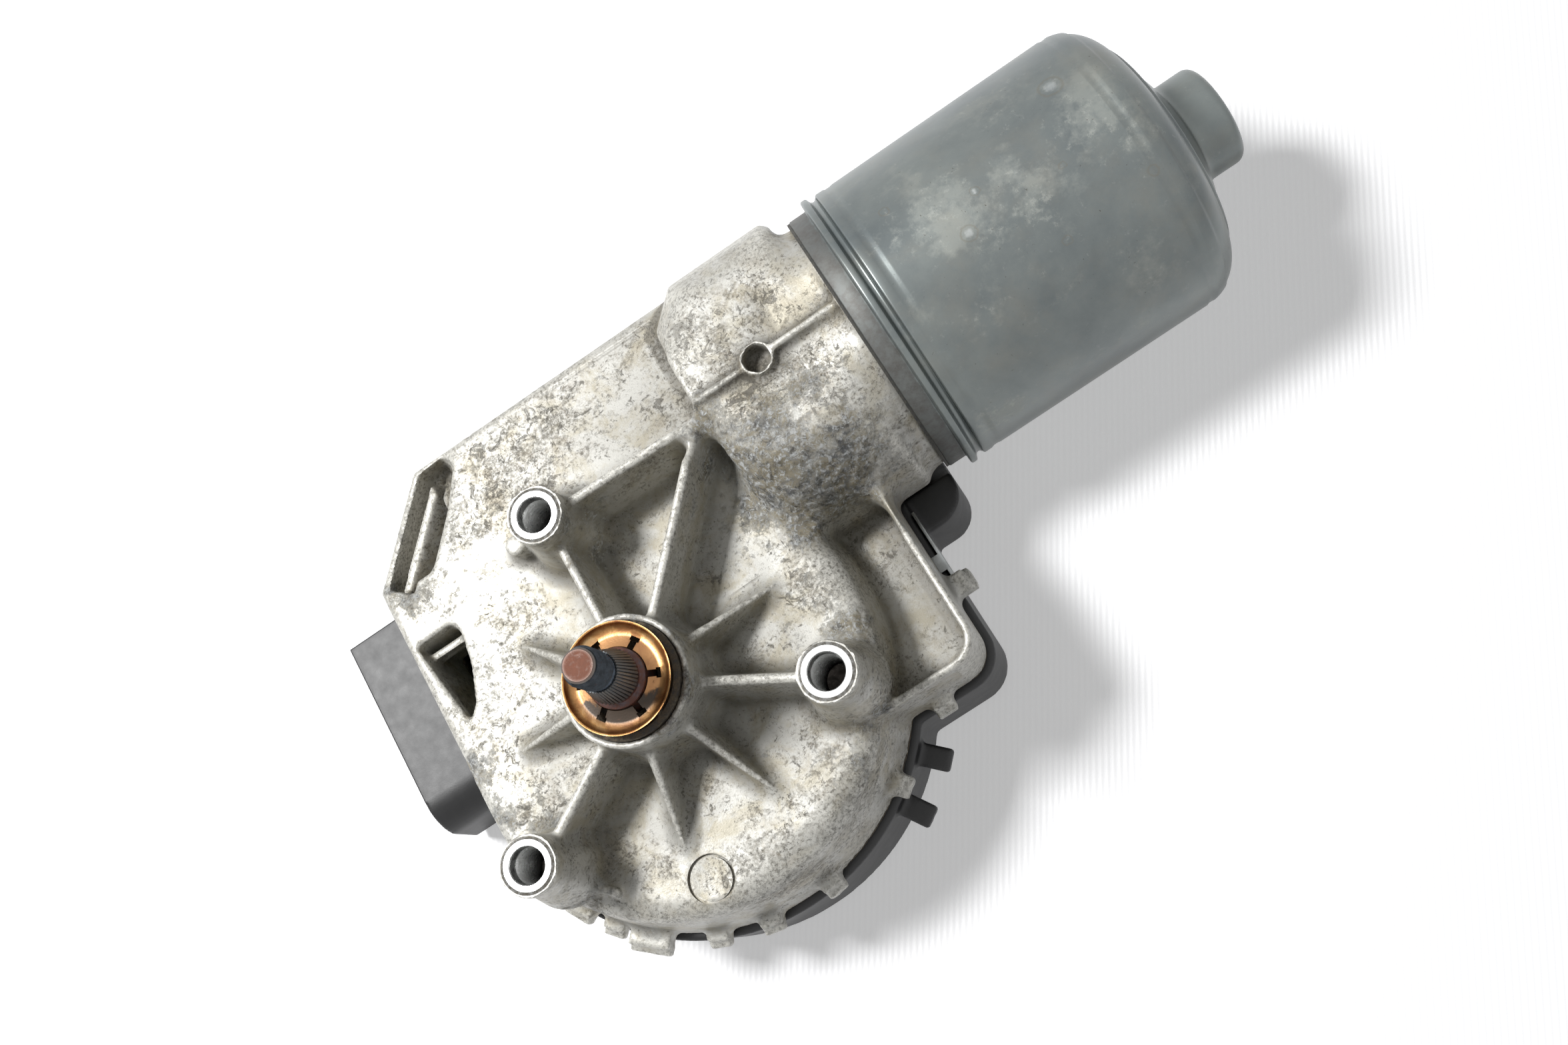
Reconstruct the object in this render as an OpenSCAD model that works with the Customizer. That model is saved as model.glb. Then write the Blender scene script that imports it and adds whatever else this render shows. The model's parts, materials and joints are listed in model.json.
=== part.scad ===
// Wiper motor: ribbed die-cast gear case, drawn steel motor can, output shaft and electronics cover.
// Origin: output shaft axis at the faces of the three mounting bosses.
// +X runs along the motor, +Z out of the output shaft.

/* [Mounting bosses] */
// Radius of the circle through the three threaded bosses
bolt_circle_r = 40; // [39:0.25:41]
// Radius of a boss at its face
boss_r = 6.2; // [5.6:0.1:6.8]
// Radius of a boss where it meets the web
boss_foot_r = 8.8; // [8:0.1:9.6]
// Radius of the tapped hole in a boss
boss_bore_r = 3.4; // [3:0.1:3.6]
// Depth of the tapped hole
boss_bore_depth = 17; // [14:0.5:18]

/* [Gear case] */
// Depth of the case web below the boss faces
web_drop = 20; // [19:0.25:21]
// Depth of the case rim below the boss faces
rim_drop = 42; // [41:0.25:43]
// Radius of the round drum at its rim
drum_r = 48.8; // [48:0.1:49.6]
// Amount by which the drum narrows from rim to web
drum_draft = 2.4; // [1.5:0.1:3]
// Radius of the rounding between drum wall and web
drum_round = 5; // [3.5:0.25:6]
// Wall thickness of the casting
case_wall = 3.2; // [2.8:0.1:3.6]
// Thickness of the web
web_t = 3.6; // [3:0.1:4]
// Distance from the shaft axis to the end wall
case_left = 44.6; // [44:0.1:45.5]
// Distance from the shaft axis to the far side wall
case_side = 74.4; // [74:0.1:75]
// Length of the sloping corner along the motor direction
corner_x = 19.5; // [18:0.25:21]
// Length of the sloping corner across the motor direction
corner_y = 20.4; // [19:0.2:21]
// Width of the chamfer round the top of the casting
edge_chamfer = 1.8; // [1.4:0.1:2.4]
// Thickness of a stiffening rib at its top
rib_t = 1.8; // [1.4:0.1:2.4]
// Thickness of a free rib at its end
rib_tip = 0.8; // [0.6:0.1:1.2]
// Draft angle of the sides of a rib
rib_draft = 8; // [5:0.5:9]
// Depth of the rib tops below the boss faces at the hub
rib_drop = 5; // [4.5:0.1:6]
// Radius of the circle that the free ribs end on
rib_end_r = 33; // [31:0.25:34]

/* [Hub] */
// Height of the hub rim above the boss faces
hub_top = 1.6; // [1:0.1:2.2]
// Radius of the hub at its rim
hub_r = 13.2; // [12.8:0.1:13.8]
// Radius of the hub where it meets the web
hub_foot_r = 15.4; // [14.8:0.1:16.4]
// Radius of the seal recess in the hub
hub_recess_r = 11.9; // [11.7:0.05:12.1]
// Depth of the seal recess
hub_recess_depth = 4.6; // [4:0.1:5]
// Depth of the lower end of the hub below the boss faces
hub_end_drop = 27; // [26.6:0.1:27.4]

/* [Side pocket] */
// Distance that the pocket wall stands out beyond the drum
pocket_out = 12; // [11.2:0.1:12.8]
// Distance from the shaft axis to the lower side of the pocket wall
pocket_y = 28.8; // [28:0.1:29.6]
// Radius of the pocket's outer corner
pocket_corner_r = 6.5; // [5.5:0.25:7.5]
// Thickness of the raised pocket wall
pocket_wall = 1.5; // [1.2:0.1:2]
// Depth of the pocket floor below the boss faces
pocket_drop = 35; // [34:0.25:36]

/* [Window] */
// Reach of the window from the end wall
window_w = 12.8; // [12:0.1:13.4]
// Length of the window across the motor direction
window_len = 21.2; // [20:0.2:22]
// Distance from the shaft axis to the window
window_y = 17.6; // [17:0.1:18.4]

/* [Rim lugs] */
// Width of a lug on the rim
lug_w = 4.8; // [4:0.1:5.4]
// Distance that a lug stands out from the drum
lug_out = 3.6; // [3:0.1:4.2]
// Height of a lug
lug_h = 5; // [4:0.1:5.6]

/* [Motor] */
// Distance from the output shaft to the motor axis
motor_y = 43; // [42.5:0.1:43.5]
// Depth of the motor axis below the boss faces
motor_drop = 32.5; // [32:0.1:33]
// Amount by which the neck of the casting is larger than the can
neck_over = 0.5; // [0.2:0.1:0.8]
// Offset of the neck's centre from the motor axis
neck_shift = 1.4; // [1:0.1:1.6]
// Depth of the neck's flat top below the boss faces
neck_drop = 6; // [5.4:0.1:6.6]
// Distance from the output shaft to the start of the neck
neck_x = 38.5; // [38:0.25:39.5]
// Length of the cone at the start of the neck
neck_cone = 7.5; // [6.5:0.25:8.5]
// Length of the neck with its cone
neck_len = 32.5; // [32:0.1:33]
// Depth of the casting from the outside of the neck to its bore
neck_wall = 10.5; // [10.3:0.1:10.9]
// Depth of the round flange below the can's mouth band
flange_drop = 1.4; // [1:0.1:1.6]
// Length of the round flange
flange_len = 3.4; // [3:0.1:4]
// Width of the ledge that the brush card lies on
card_ledge = 3.5; // [3.2:0.1:3.8]
// Length of the spigot that locates the can
spigot_len = 4; // [3:0.25:4.4]
// Thickness of the gasket at the mouth
gasket_t = 0.6; // [0.4:0.1:1]
// Radius of the can
can_r = 33; // [32.6:0.1:33.2]
// Wall thickness of the can
can_wall = 1.8; // [1.5:0.1:2.2]
// Distance between the coil heads and the can's end wall
coil_room = 4.8; // [4.5:0.1:6]
// Rise of the rear wall from its rounded edge to the bearing cap
dome_rise = 3.8; // [3:0.2:4]
// Radius of the can's rear shoulder
shoulder_r = 9.5; // [8:0.25:10.5]
// Radius of the bearing cap
cap_r = 11.4; // [11:0.1:12]
// Length of the bearing cap
cap_len = 10; // [9.5:0.1:11]
// Depth of the mouth band below the can's wall
band_drop = 1.6; // [1.4:0.1:1.8]
// Width of the mouth band
band_w = 4.4; // [4:0.1:5]
// Height of the bead behind the mouth band above the can's wall
bead_h = 0.6; // [0.4:0.1:0.9]
// Width of the bead
bead_w = 2.2; // [1.8:0.1:2.6]
// Depth of the groove behind the bead
groove_depth = 0.9; // [0.7:0.1:1.1]
// Width of the groove behind the bead
groove_w = 2; // [1.6:0.1:2.4]

/* [Output shaft] */
// Radius of the output shaft in its bushes
shaft_r = 6; // [5.8:0.05:6.2]
// Height of the shaft tip above the boss faces
shaft_top = 24.6; // [23.6:0.1:26]
// Outer radius of the thread at the shaft tip
thread_r = 4; // [3.8:0.05:4.1]
// Height of the foot of the thread above the boss faces
thread_z = 13.2; // [12.8:0.1:14]
// Height of the foot of the serrated cone above the boss faces
cone_z = 7.6; // [7.2:0.1:8]
// Radius of the serrated cone at its foot
cone_r = 5.7; // [5.4:0.05:5.7]
// Radius of the serrated cone at its top
cone_top_r = 4.8; // [4.6:0.05:5]
// Outer radius of the cup washer
washer_r = 11.1; // [10.8:0.05:11.4]
// Height of the cup washer's rim above the boss faces
washer_z = 5.6; // [5.2:0.1:6]
// Sheet thickness of the cup washer
washer_t = 0.7; // [0.5:0.05:0.9]
// Thickness of the shim between hub and wheel
shim_t = 0.6; // [0.4:0.1:1]
// Thickness of the driver plate under the wheel
driver_t = 1.4; // [1:0.1:1.8]
// Thickness of the position magnet on the shaft's end
pole_t = 2.4; // [1.6:0.1:3]

/* [Worm gear] */
// Number of teeth on the worm wheel
wheel_teeth = 63; // [59:1:67]
// Pitch radius of the worm
worm_r = 5; // [4.8:0.1:5.2]
// Face width of the worm wheel
wheel_w = 7; // [6:0.5:7.5]
// Radius of the worm wheel's hub
wheel_hub_r = 11; // [10.5:0.1:11.2]
// Thickness of the web of the worm wheel
wheel_web_t = 3.2; // [2.6:0.2:4]
// Tooth height above the pitch circle as a share of the module
addendum = 0.95; // [0.9:0.05:1]
// Length of the worm thread
worm_len = 26; // [22:1:28]
// Free play on each flank of the mesh
mesh_play = 0.2; // [0.16:0.02:0.26]

/* [Armature] */
// Radius of the armature shaft
arm_shaft_r = 4; // [3.8:0.1:4.1]
// Air gap between the lamination stack and the magnets
air_gap = 0.9; // [0.7:0.1:1.3]
// Length of the lamination stack
core_len = 46; // [42:1:48]
// Distance between the commutator and the coil heads
comm_gap = 7; // [6:0.5:8]
// Number of slots in the stack
core_slots = 12; // [10:2:12]
// Radius of a slot in the stack
slot_r = 3.5; // [3.2:0.1:3.6]
// Length of the windings beyond each end of the stack
end_turn = 9; // [8:0.25:9.5]
// Radius of the commutator
comm_r = 10.5; // [10:0.25:11]
// Length of the commutator
comm_len = 15; // [14.5:0.25:16]
// Distance that the commutator reaches in front of the brush card
comm_reach = 11; // [10:0.5:11.5]
// Thickness of a field magnet
magnet_t = 6.6; // [6.2:0.1:6.8]
// Length by which a field magnet passes each end of the stack
magnet_over = 2; // [1:0.5:2]
// Angle covered by one field magnet
magnet_arc = 74; // [68:1:78]

/* [Bearings] */
// Outer radius of the armature ball bearing
ball_brg_r = 11; // [10.8:0.1:11.2]
// Width of the armature ball bearing
ball_brg_w = 7; // [6.5:0.25:7.5]
// Distance from the start of the neck to the ball bearing
ball_brg_in = 8; // [7.5:0.25:8.5]
// Radius of a bearing ball
ball_r = 1.95; // [1.8:0.05:2]
// Number of bearing balls
ball_count = 8; // [7:1:9]
// Outer radius of the output shaft bushes
bush_r = 8; // [7.8:0.1:8.2]
// Length of an output shaft bush
bush_len = 9; // [8:0.25:10]
// Radius of the armature shaft's front journal
journal_r = 3; // [2.8:0.1:3.2]
// Outer radius of the front journal's bush
end_bush_r = 5.5; // [5.2:0.1:5.7]
// Length of the front journal's bush
end_bush_len = 9; // [8:0.25:9.5]
// Radius of the rear self-aligning bearing
rear_brg_r = 7; // [6.8:0.1:7.2]
// Width of the clip that holds the rear bearing
clip_w = 6; // [5:0.25:6.5]

/* [Brush gear] */
// Thickness of the brush card
card_t = 2.4; // [2:0.1:2.8]
// Width of a carbon brush
brush_w = 6; // [5:0.25:6.5]
// Room for the spring behind a carbon brush
spring_room = 5; // [4.8:0.1:5.5]
// Radius of a suppression choke
choke_r = 2.4; // [2:0.1:2.6]
// Length of a suppression choke
choke_len = 11; // [9:0.5:12]

/* [Electronics cover] */
// Depth of the cover's underside below the boss faces
cover_drop = 64; // [62:0.25:65]
// Wall thickness of the cover
cover_wall = 2; // [1.8:0.1:2.4]
// Distance that the cover stands out beyond the casting
cover_lip = 1.6; // [1.2:0.1:2]
// Thickness of the seal between cover and casting
seal_t = 1; // [0.8:0.1:1.2]
// Thickness of the circuit board
board_t = 1.6; // [1.2:0.1:2]
// Height of the position sensor
sensor_h = 6; // [5:0.25:6.5]
// Width of the position sensor
sensor_w = 6; // [5:0.25:8]
// Distance between the position sensor and its magnet
sensor_gap = 4.2; // [3.6:0.1:5]
// Length of the park relay
relay_len = 20; // [16:0.5:22]
// Width of the park relay
relay_w = 11; // [9:0.5:12]
// Height of the park relay
relay_h = 15; // [12:0.5:18]
// Radius of the capacitor
capacitor_r = 5; // [4:0.25:6]
// Height of the capacitor
capacitor_h = 12; // [9:0.5:14]
// Width of the control chip
chip_w = 12; // [8:0.5:14]
// Width of a motor lead bar
bar_w = 2; // [1.6:0.1:2.4]
// Thickness of a motor lead bar
bar_t = 1; // [0.8:0.1:1.4]
// Width of a retaining tab on the cover
tab_w = 5; // [4:0.25:6]
// Length of a retaining tab on the cover
tab_len = 7; // [6:0.25:8]
// Width of the ledge inside the cover's edge
ledge_w = 2.4; // [2:0.1:2.8]
// Depth of the lead duct's roof below the boss faces
duct_drop = 45; // [44.5:0.1:45.5]
// Distance that the lead duct reaches beyond the neck
duct_out = 3.2; // [2.6:0.1:3.8]
// Distance from the shaft axis to the near side of the lead duct
duct_y = 4; // [3.4:0.1:4.6]
// Radius of the lead duct's outer corner
duct_corner_r = 7; // [6:0.25:7.5]
// Length of the ground strip's foot
strip_foot = 12; // [10:0.5:13]
// Length of the ground strip's arm
strip_arm = 17; // [15:0.5:18]
// Radius of a cover screw's shank
screw_r = 1.5; // [1.3:0.1:1.7]
// Length of a cover screw under its head
screw_len = 11; // [10:0.5:11.5]
// Radius of a cover screw's head
screw_head_r = 2.9; // [2.6:0.1:3.1]

/* [Connector] */
// Length of the connector shroud across the motor direction
conn_len = 50; // [48:0.5:52]
// Distance that the shroud reaches beyond the end wall
conn_out = 21.6; // [20:0.2:23]
// Height of the shroud
conn_h = 19; // [18:0.25:19.6]
// Wall thickness of the shroud
conn_wall = 2; // [1.6:0.1:2.4]
// Radius of the shroud's rounded lower edge
conn_round = 8; // [6:0.25:9]
// Distance from the shaft axis to the near side of the shroud
conn_y = 7.4; // [6.6:0.1:8.2]
// Number of contact blades
pin_count = 6; // [4:1:8]
// Width of a contact blade
pin_w = 2.8; // [1.6:0.1:3]
// Thickness of a contact blade
blade_t = 0.8; // [0.6:0.1:1]
// Depth of the shroud's top below the boss faces
conn_drop = 44; // [43.8:0.1:44.6]

/* [Fits] */
// Radial running clearance of a shaft in a bush
running = 0.04; // [0.02:0.01:0.08]
// Clearance between a seated piece and its seat
seat = 0.1; // [0.05:0.05:0.15]
// Clearance of a pressed-in piece
press = 0.02; // [0.01:0.01:0.04]
// End play of a shaft
end_play = 0.1; // [0.05:0.05:0.2]
// Gap between the neck of the casting and the cover
neck_gap = 0.4; // [0.3:0.1:0.6]

/* [Hidden] */
fine = 96;
tiny = 0.01;
motor_z = -motor_drop;
web_z = -web_drop;
rim_z = -rim_drop;
rib_z = -rib_drop;
case_end_x = -case_left;
pocket_x = drum_r + pocket_out;
web_edge_r = drum_r - drum_draft - drum_round;
neck_r = can_r + neck_over;
neck_bore_r = neck_r - neck_wall;
neck_end_x = neck_x + neck_len;
card_x = neck_end_x;
mouth_x = neck_end_x + flange_len + gasket_t;
band_r = can_r - band_drop;
bead_r = can_r + bead_h;
groove_r = can_r - groove_depth;
flange_r = band_r - flange_drop;
flange_bore_r = neck_bore_r + card_ledge;
duct_x = neck_end_x + duct_out;
boss_angles = [90, -30, 210];
free_ribs = [10, -70, -110, 170, 130];
node_rib = 47;
window_plan = [[0.19, 0.98], [0.91, 1], [1, 0.86], [0.89, 0.49], [0.66, 0.14], [0.44, 0]];
small_lugs = [-52.6, -81.5, -98.9, -112.5, -139.3];
socket_x = neck_x + neck_len / 2 - 0.05;
pocket_far_y = neck_shift + motor_y - neck_r + 3.9;
duct_far_y = motor_y - 13;
wheel_r = motor_y - worm_r;
gear_module = 2 * wheel_r / wheel_teeth;
worm_pitch = PI * gear_module;
dedendum = 1.15;
worm_tip_r = worm_r + addendum * gear_module;
worm_root_r = worm_r - dedendum * gear_module;
wheel_tip_r = wheel_r + addendum * gear_module;
wheel_root_r = wheel_r - dedendum * gear_module;
worm_lead = atan(worm_pitch / (2 * PI * worm_r));
flank = 16;
thread_share = 0.2;
worm_phase = 270 - 180 * worm_len / worm_pitch;
wheel_low_z = motor_z - wheel_w / 2;
shim_z = -hub_end_drop - end_play - shim_t;
shaft_low_z = wheel_low_z - driver_t - 2;
board_z = shaft_low_z - pole_t - sensor_gap - sensor_h;
worm_end_x = -worm_len / 2 - 4;
journal_x = worm_end_x - end_bush_len - 2.5;
thrust_x = journal_x - 2.5;
ball_brg_x = neck_x + ball_brg_in;
brg_end_x = ball_brg_x + ball_brg_w;
race_r = (ball_brg_r + arm_shaft_r) / 2;
ball_gap = 0.1;
spigot_r = band_r - can_wall - seat;
barrel_x = mouth_x + band_w + bead_w + groove_w;
comm_x = card_x - comm_reach;
core_x = comm_x + comm_len + comm_gap + end_turn;
magnet_out_r = can_r - can_wall - seat;
magnet_x = core_x - magnet_over;
magnet_len = core_len + 2 * magnet_over;
core_r = magnet_out_r - magnet_t - air_gap;
can_end_x = core_x + core_len + end_turn + coil_room + can_wall;
cap_end_x = can_end_x + cap_len;
slot_mid_r = core_r - slot_r - 2.1;
shaft_end_x = cap_end_x - can_wall - 1.6;
rear_brg_x = shaft_end_x - 4.7;
brush_len = neck_bore_r - comm_r - spring_room;
brush_angles = [70, 160, 250];
choke_angles = [115, 205];
cover_base_z = -cover_drop;
cover_top_z = rim_z - seal_t;
tab_angles = [-44.2, -56.7];
conn_top_z = -conn_drop;
conn_back_x = case_end_x - cover_lip;
conn_mouth_x = case_end_x - conn_out;
screw_seat_z = rim_z - 6.2;
screw_xy = [
    [case_end_x + 24.6, case_side - 8.4], [neck_x - 8.5, case_side - 8.4],
    [pocket_x - 8, 11.8 - pocket_y], (drum_r - 5.8) * [-cos(40), -sin(40)]
];
screw_boss_h = [rim_drop - web_drop - 1, rim_drop - web_drop - 1, 6.2, 12];

// Places children along the motor axis: their local Z runs along +X
module on_motor(x) {
    translate([x, motor_y, motor_z])
        rotate([0, 90, 0])
            children();
}

// A plain tube along Z
module tube(r_out, r_in, h) {
    difference() {
        cylinder(r = r_out, h = h, $fn = fine);
        translate([0, 0, -1])
            cylinder(r = r_in, h = h + 2, $fn = fine);
    }
}

// Points of a circular arc in a profile
function arc(cx, cy, r, a0, a1, n) = [
    for (i = [0:n])
        let(a = a0 + (a1 - a0) * i / n)
            [cx + r * cos(a), cy + r * sin(a)]
];

// Outline of the box end of the casting, drawn in by a given inset
function box_plan(inset, right) = let(
    n = norm([corner_x, corner_y]),
    nx = -corner_y / n,
    ny = corner_x / n,
    x0 = -case_left + inset,
    y1 = case_side - inset
) [
    [x0, -20 + inset],
    [x0, case_side - corner_y - inset * (1 + nx) / ny],
    [-case_left + corner_x - inset * (1 - ny) / nx, y1],
    [right, y1],
    [right, 24],
    [0, -20 + inset]
];

// Straight rib along local X with drafted sides, so that it narrows where its top runs down
module rib(length, top_start, top_end, foot, end_t = rib_t) {
    ends = [[0, top_start, rib_t / 2], [length, top_end, end_t / 2]];
    polyhedron(
        [
            for (e = ends)
                let(x = e[0], top = e[1], half = e[2], spread = half + (top - foot) * tan(rib_draft))
                    each [[x, -spread, foot], [x, spread, foot], [x, half, top], [x, -half, top]]
        ],
        [[0, 1, 2, 3], [7, 6, 5, 4], [0, 4, 5, 1], [2, 6, 7, 3], [0, 3, 7, 4], [1, 5, 6, 2]]
    );
}

module boss(foot) {
    translate([0, 0, web_z - tiny])
        cylinder(r1 = foot, r2 = boss_r, h = web_drop * 0.62, $fn = fine);
    translate([0, 0, web_z * 0.5])
        cylinder(r = boss_r, h = web_drop * 0.5, $fn = fine);
}

module boss_bore() {
    translate([0, 0, -boss_bore_depth])
        cylinder(r = boss_bore_r, h = boss_bore_depth + 1, $fn = fine);
}

// Round drum over the worm wheel, with its rounded top edge
module drum_body() {
    top_r = drum_r - drum_draft;
    intersection() {
        rotate_extrude($fn = fine)
            polygon(concat(
                [[0, rim_z], [drum_r, rim_z]],
                arc(top_r - drum_round, web_z - drum_round, drum_round, 0, 90, 6),
                [[0, web_z]]
            ));
        translate([case_end_x, -60, rim_z - 1])
            cube([120, 120, 40]);
    }
}

module box_body() {
    right = neck_x + 8;
    hull() {
        translate([0, 0, rim_z])
            linear_extrude(tiny)
                polygon(box_plan(-0.4, right));
        translate([0, 0, web_z - edge_chamfer])
            linear_extrude(tiny)
                polygon(box_plan(0.2, right));
        translate([0, 0, web_z - 0.8])
            linear_extrude(tiny)
                polygon(box_plan(edge_chamfer * 0.35, right));
        translate([0, 0, web_z - tiny])
            linear_extrude(tiny)
                polygon(box_plan(edge_chamfer, right));
    }
}

// Plan of the side pocket, open towards the neck
module pocket_plan(inset, z, h, far) {
    r = pocket_corner_r - inset;
    start = drum_r - 18;
    translate([start, -pocket_y + inset, z])
        cube([pocket_x - start - pocket_corner_r, far + pocket_y - inset, h]);
    translate([start, -pocket_y + pocket_corner_r, z])
        cube([pocket_x - start - inset, far + pocket_y - pocket_corner_r, h]);
    translate([pocket_x - pocket_corner_r, -pocket_y + pocket_corner_r, z])
        cylinder(r = r, h = h, $fn = 48);
}

// Neck that carries the motor: a cone and a barrel, flat on top
module neck_body() {
    intersection() {
        translate([0, neck_shift, 0]) {
            on_motor(neck_x)
                cylinder(r1 = neck_r - neck_cone * 0.85, r2 = neck_r, h = neck_cone, $fn = fine);
            on_motor(neck_x + neck_cone - tiny)
                cylinder(r = neck_r, h = neck_end_x - neck_x - neck_cone - 1.6, $fn = fine);
            on_motor(neck_end_x - 1.6 - tiny)
                cylinder(r1 = neck_r, r2 = neck_r - 1.6, h = 1.6, $fn = fine);
        }
        translate([0, -40, -100])
            cube([200, 200, 100 - neck_drop]);
    }
}

// Round flange behind the can and the spigot that locates it
module flange_body() {
    face_x = mouth_x - gasket_t;
    on_motor(neck_end_x - 1)
        cylinder(r = flange_r, h = face_x - neck_end_x + 1, $fn = fine);
    on_motor(face_x - 1)
        cylinder(r = spigot_r, h = spigot_len + gasket_t + 1, $fn = fine);
}

module hub_body() {
    cone_h = web_drop * 0.55;
    translate([0, 0, web_z - tiny])
        cylinder(r1 = hub_foot_r, r2 = hub_r, h = cone_h, $fn = fine);
    translate([0, 0, web_z + cone_h - 2 * tiny])
        cylinder(r = hub_r, h = web_drop - cone_h + hub_top, $fn = fine);
    translate([0, 0, -hub_end_drop])
        cylinder(r = bush_r + case_wall, h = hub_end_drop - web_drop, $fn = fine);
}

// Lug on the rim, its notch facing up
module rim_lug(w, out) {
    difference() {
        translate([-1.5, -w / 2, rim_z])
            cube([out + 1.5, w, lug_h]);
        translate([out - 1.4, -w / 2 - 1, rim_z + lug_h * 0.62])
            cube([3, w + 2, lug_h]);
    }
}

module lug_at(angle, w, out) {
    rotate([0, 0, angle])
        translate([drum_r - 0.3, 0, 0])
            rim_lug(w, out);
}

module lugs() {
    for (a = small_lugs)
        lug_at(a, lug_w, lug_out);
    lug_at(-129.6, lug_w * 1.9, lug_out + 1.4);
    lug_at(-149.7, lug_w * 1.45, lug_out);
    translate([pocket_x - 2 * pocket_corner_r - 1.1, -pocket_y, 0])
        rotate([0, 0, -90])
            rim_lug(lug_w, lug_out);
    translate([pocket_x, -10.8, 0])
        rim_lug(lug_w, lug_out + 2);
}

// Thin rib and locating socket along the crest of the neck
module neck_crest() {
    translate([neck_x, motor_y - 0.7, -neck_drop - 2])
        cube([neck_end_x - neck_x + 1, 1.4, 3.4]);
    translate([socket_x, motor_y, -neck_drop - 2])
        cylinder(r = 3.7, h = 3.8, $fn = 48);
}

// Window beside the connector, with the narrow bar that crosses it
module window_cut() {
    difference() {
        translate([0, 0, rim_z - 1])
            linear_extrude(rim_drop - web_drop + 2)
                polygon([
                    for (p = window_plan)
                        [case_end_x + window_w * p[0], window_y + window_len * p[1]]
                ]);
        translate([case_end_x - 1.4, window_y + window_len * 0.8, web_z - 7])
            cube([window_w + 3.2, 2, 4]);
    }
}

// Places children at the sloping corner: local X runs along its face, local Y outwards
module at_corner() {
    translate([case_end_x, case_side - corner_y, 0])
        rotate([0, 0, atan2(corner_y, corner_x)])
            children();
}

// Deep recess behind the sloping corner's outer band, with a slit below the band
module corner_slot() {
    length = norm([corner_x, corner_y]) - 2.6;
    at_corner() {
        translate([1.6, -8.4, web_z - 11])
            cube([length, 6, 20]);
        translate([1.6, -3.4, web_z - 10.2])
            cube([length, 8, 3]);
    }
}

module case_cavity() {
    depth = rim_drop - web_drop - web_t + 1;
    inner_r = drum_r - case_wall - 1.2;
    intersection() {
        translate([0, 0, rim_z - 1])
            cylinder(r = inner_r, h = depth, $fn = fine);
        translate([case_end_x + case_wall, -60, rim_z - 2])
            cube([120, 120, 40]);
    }
    difference() {
        translate([0, 0, rim_z - 1])
            linear_extrude(depth)
                polygon(box_plan(case_wall + 0.4, neck_x - 3));
        on_motor(case_end_x - 10)
            cylinder(r = worm_tip_r + 4.6, h = 120, $fn = fine);
        at_corner()
            translate([-6, -11, rim_z - 2])
                cube([corner_x + corner_y + 6, 25, 30]);
    }
    difference() {
        pocket_plan(case_wall, rim_z - 1, rim_drop - pocket_drop - 2, pocket_far_y);
        translate([0, 0, rim_z - 2])
            cylinder(r = inner_r - 0.8, h = 30, $fn = fine);
    }
}

// Small marks on the web: a stub pin, an ejector mark and two low ribs
module web_marks() {
    translate([-10.5, motor_y, web_z - tiny])
        cylinder(r = 2.3, h = 6, $fn = 48);
    translate([7.2, -web_edge_r - 0.2, web_z - tiny])
        cube([12.5, 1.6, 0.8]);
    translate([-34.8, -23, web_z - tiny])
        rotate([0, 0, -44.7])
            translate([0, -0.9, 0])
                cube([11.2, 1.8, 2.4]);
}

module ejector_mark() {
    translate([-9.5, 3.3 - web_edge_r, web_z - 0.4])
        cylinder(r = 4.8, h = 1, $fn = 64);
}

module worm_tunnel() {
    on_motor(worm_end_x - 1.5)
        cylinder(r = worm_tip_r + 1.1, h = ball_brg_x - worm_end_x + 1.5 + tiny, $fn = fine);
    on_motor(thrust_x)
        cylinder(r = end_bush_r, h = worm_end_x - thrust_x, $fn = fine);
    on_motor(ball_brg_x)
        cylinder(r = ball_brg_r, h = 20, $fn = fine);
    translate([0, 0, wheel_low_z - 1])
        cylinder(r = wheel_tip_r + 1, h = wheel_w + 2, $fn = fine);
}

// Bore of the neck, with a relief round the bearing seat and the slot for the motor leads
module neck_inside() {
    relief_x = neck_x + 5.5;
    on_motor(brg_end_x)
        cylinder(r = neck_bore_r, h = card_x - brg_end_x + tiny, $fn = fine);
    on_motor(relief_x)
        tube(neck_bore_r, ball_brg_r + case_wall, brg_end_x - relief_x + tiny);
    on_motor(card_x)
        cylinder(r = flange_bore_r, h = 20, $fn = fine);
    translate([card_x - 9, duct_y + 6, board_z - 0.8])
        cube([7, 30, 5.8]);
}

module screw_bosses() {
    for (i = [0:3])
        translate([screw_xy[i][0], screw_xy[i][1], rim_z])
            cylinder(r = 4, h = screw_boss_h[i], $fn = 48);
}

module screw_pilots() {
    for (p = screw_xy)
        translate([p[0], p[1], rim_z - 1])
            cylinder(r = screw_r + press, h = screw_len + screw_seat_z - rim_z + 1.2, $fn = 48);
}

module case_ribs() {
    start = hub_r - 2;
    foot = web_z - tiny;
    for (a = free_ribs)
        rotate([0, 0, a])
            translate([start, 0, 0])
                rib(rib_end_r - start, rib_z, web_z + rib_tip / 2, foot, rib_tip);
    for (a = boss_angles)
        rotate([0, 0, a])
            translate([start, 0, 0])
                rib(bolt_circle_r - start - 4, rib_z, rib_z - 1, foot);
    rotate([0, 0, node_rib])
        translate([start, 0, 0])
            rib(norm([neck_x, motor_y - 2]) - start + 1, rib_z, -neck_drop, foot);
    translate([4, bolt_circle_r, 0])
        rib(neck_x - 3, rib_z + 1, -neck_drop, foot);
}

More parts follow.
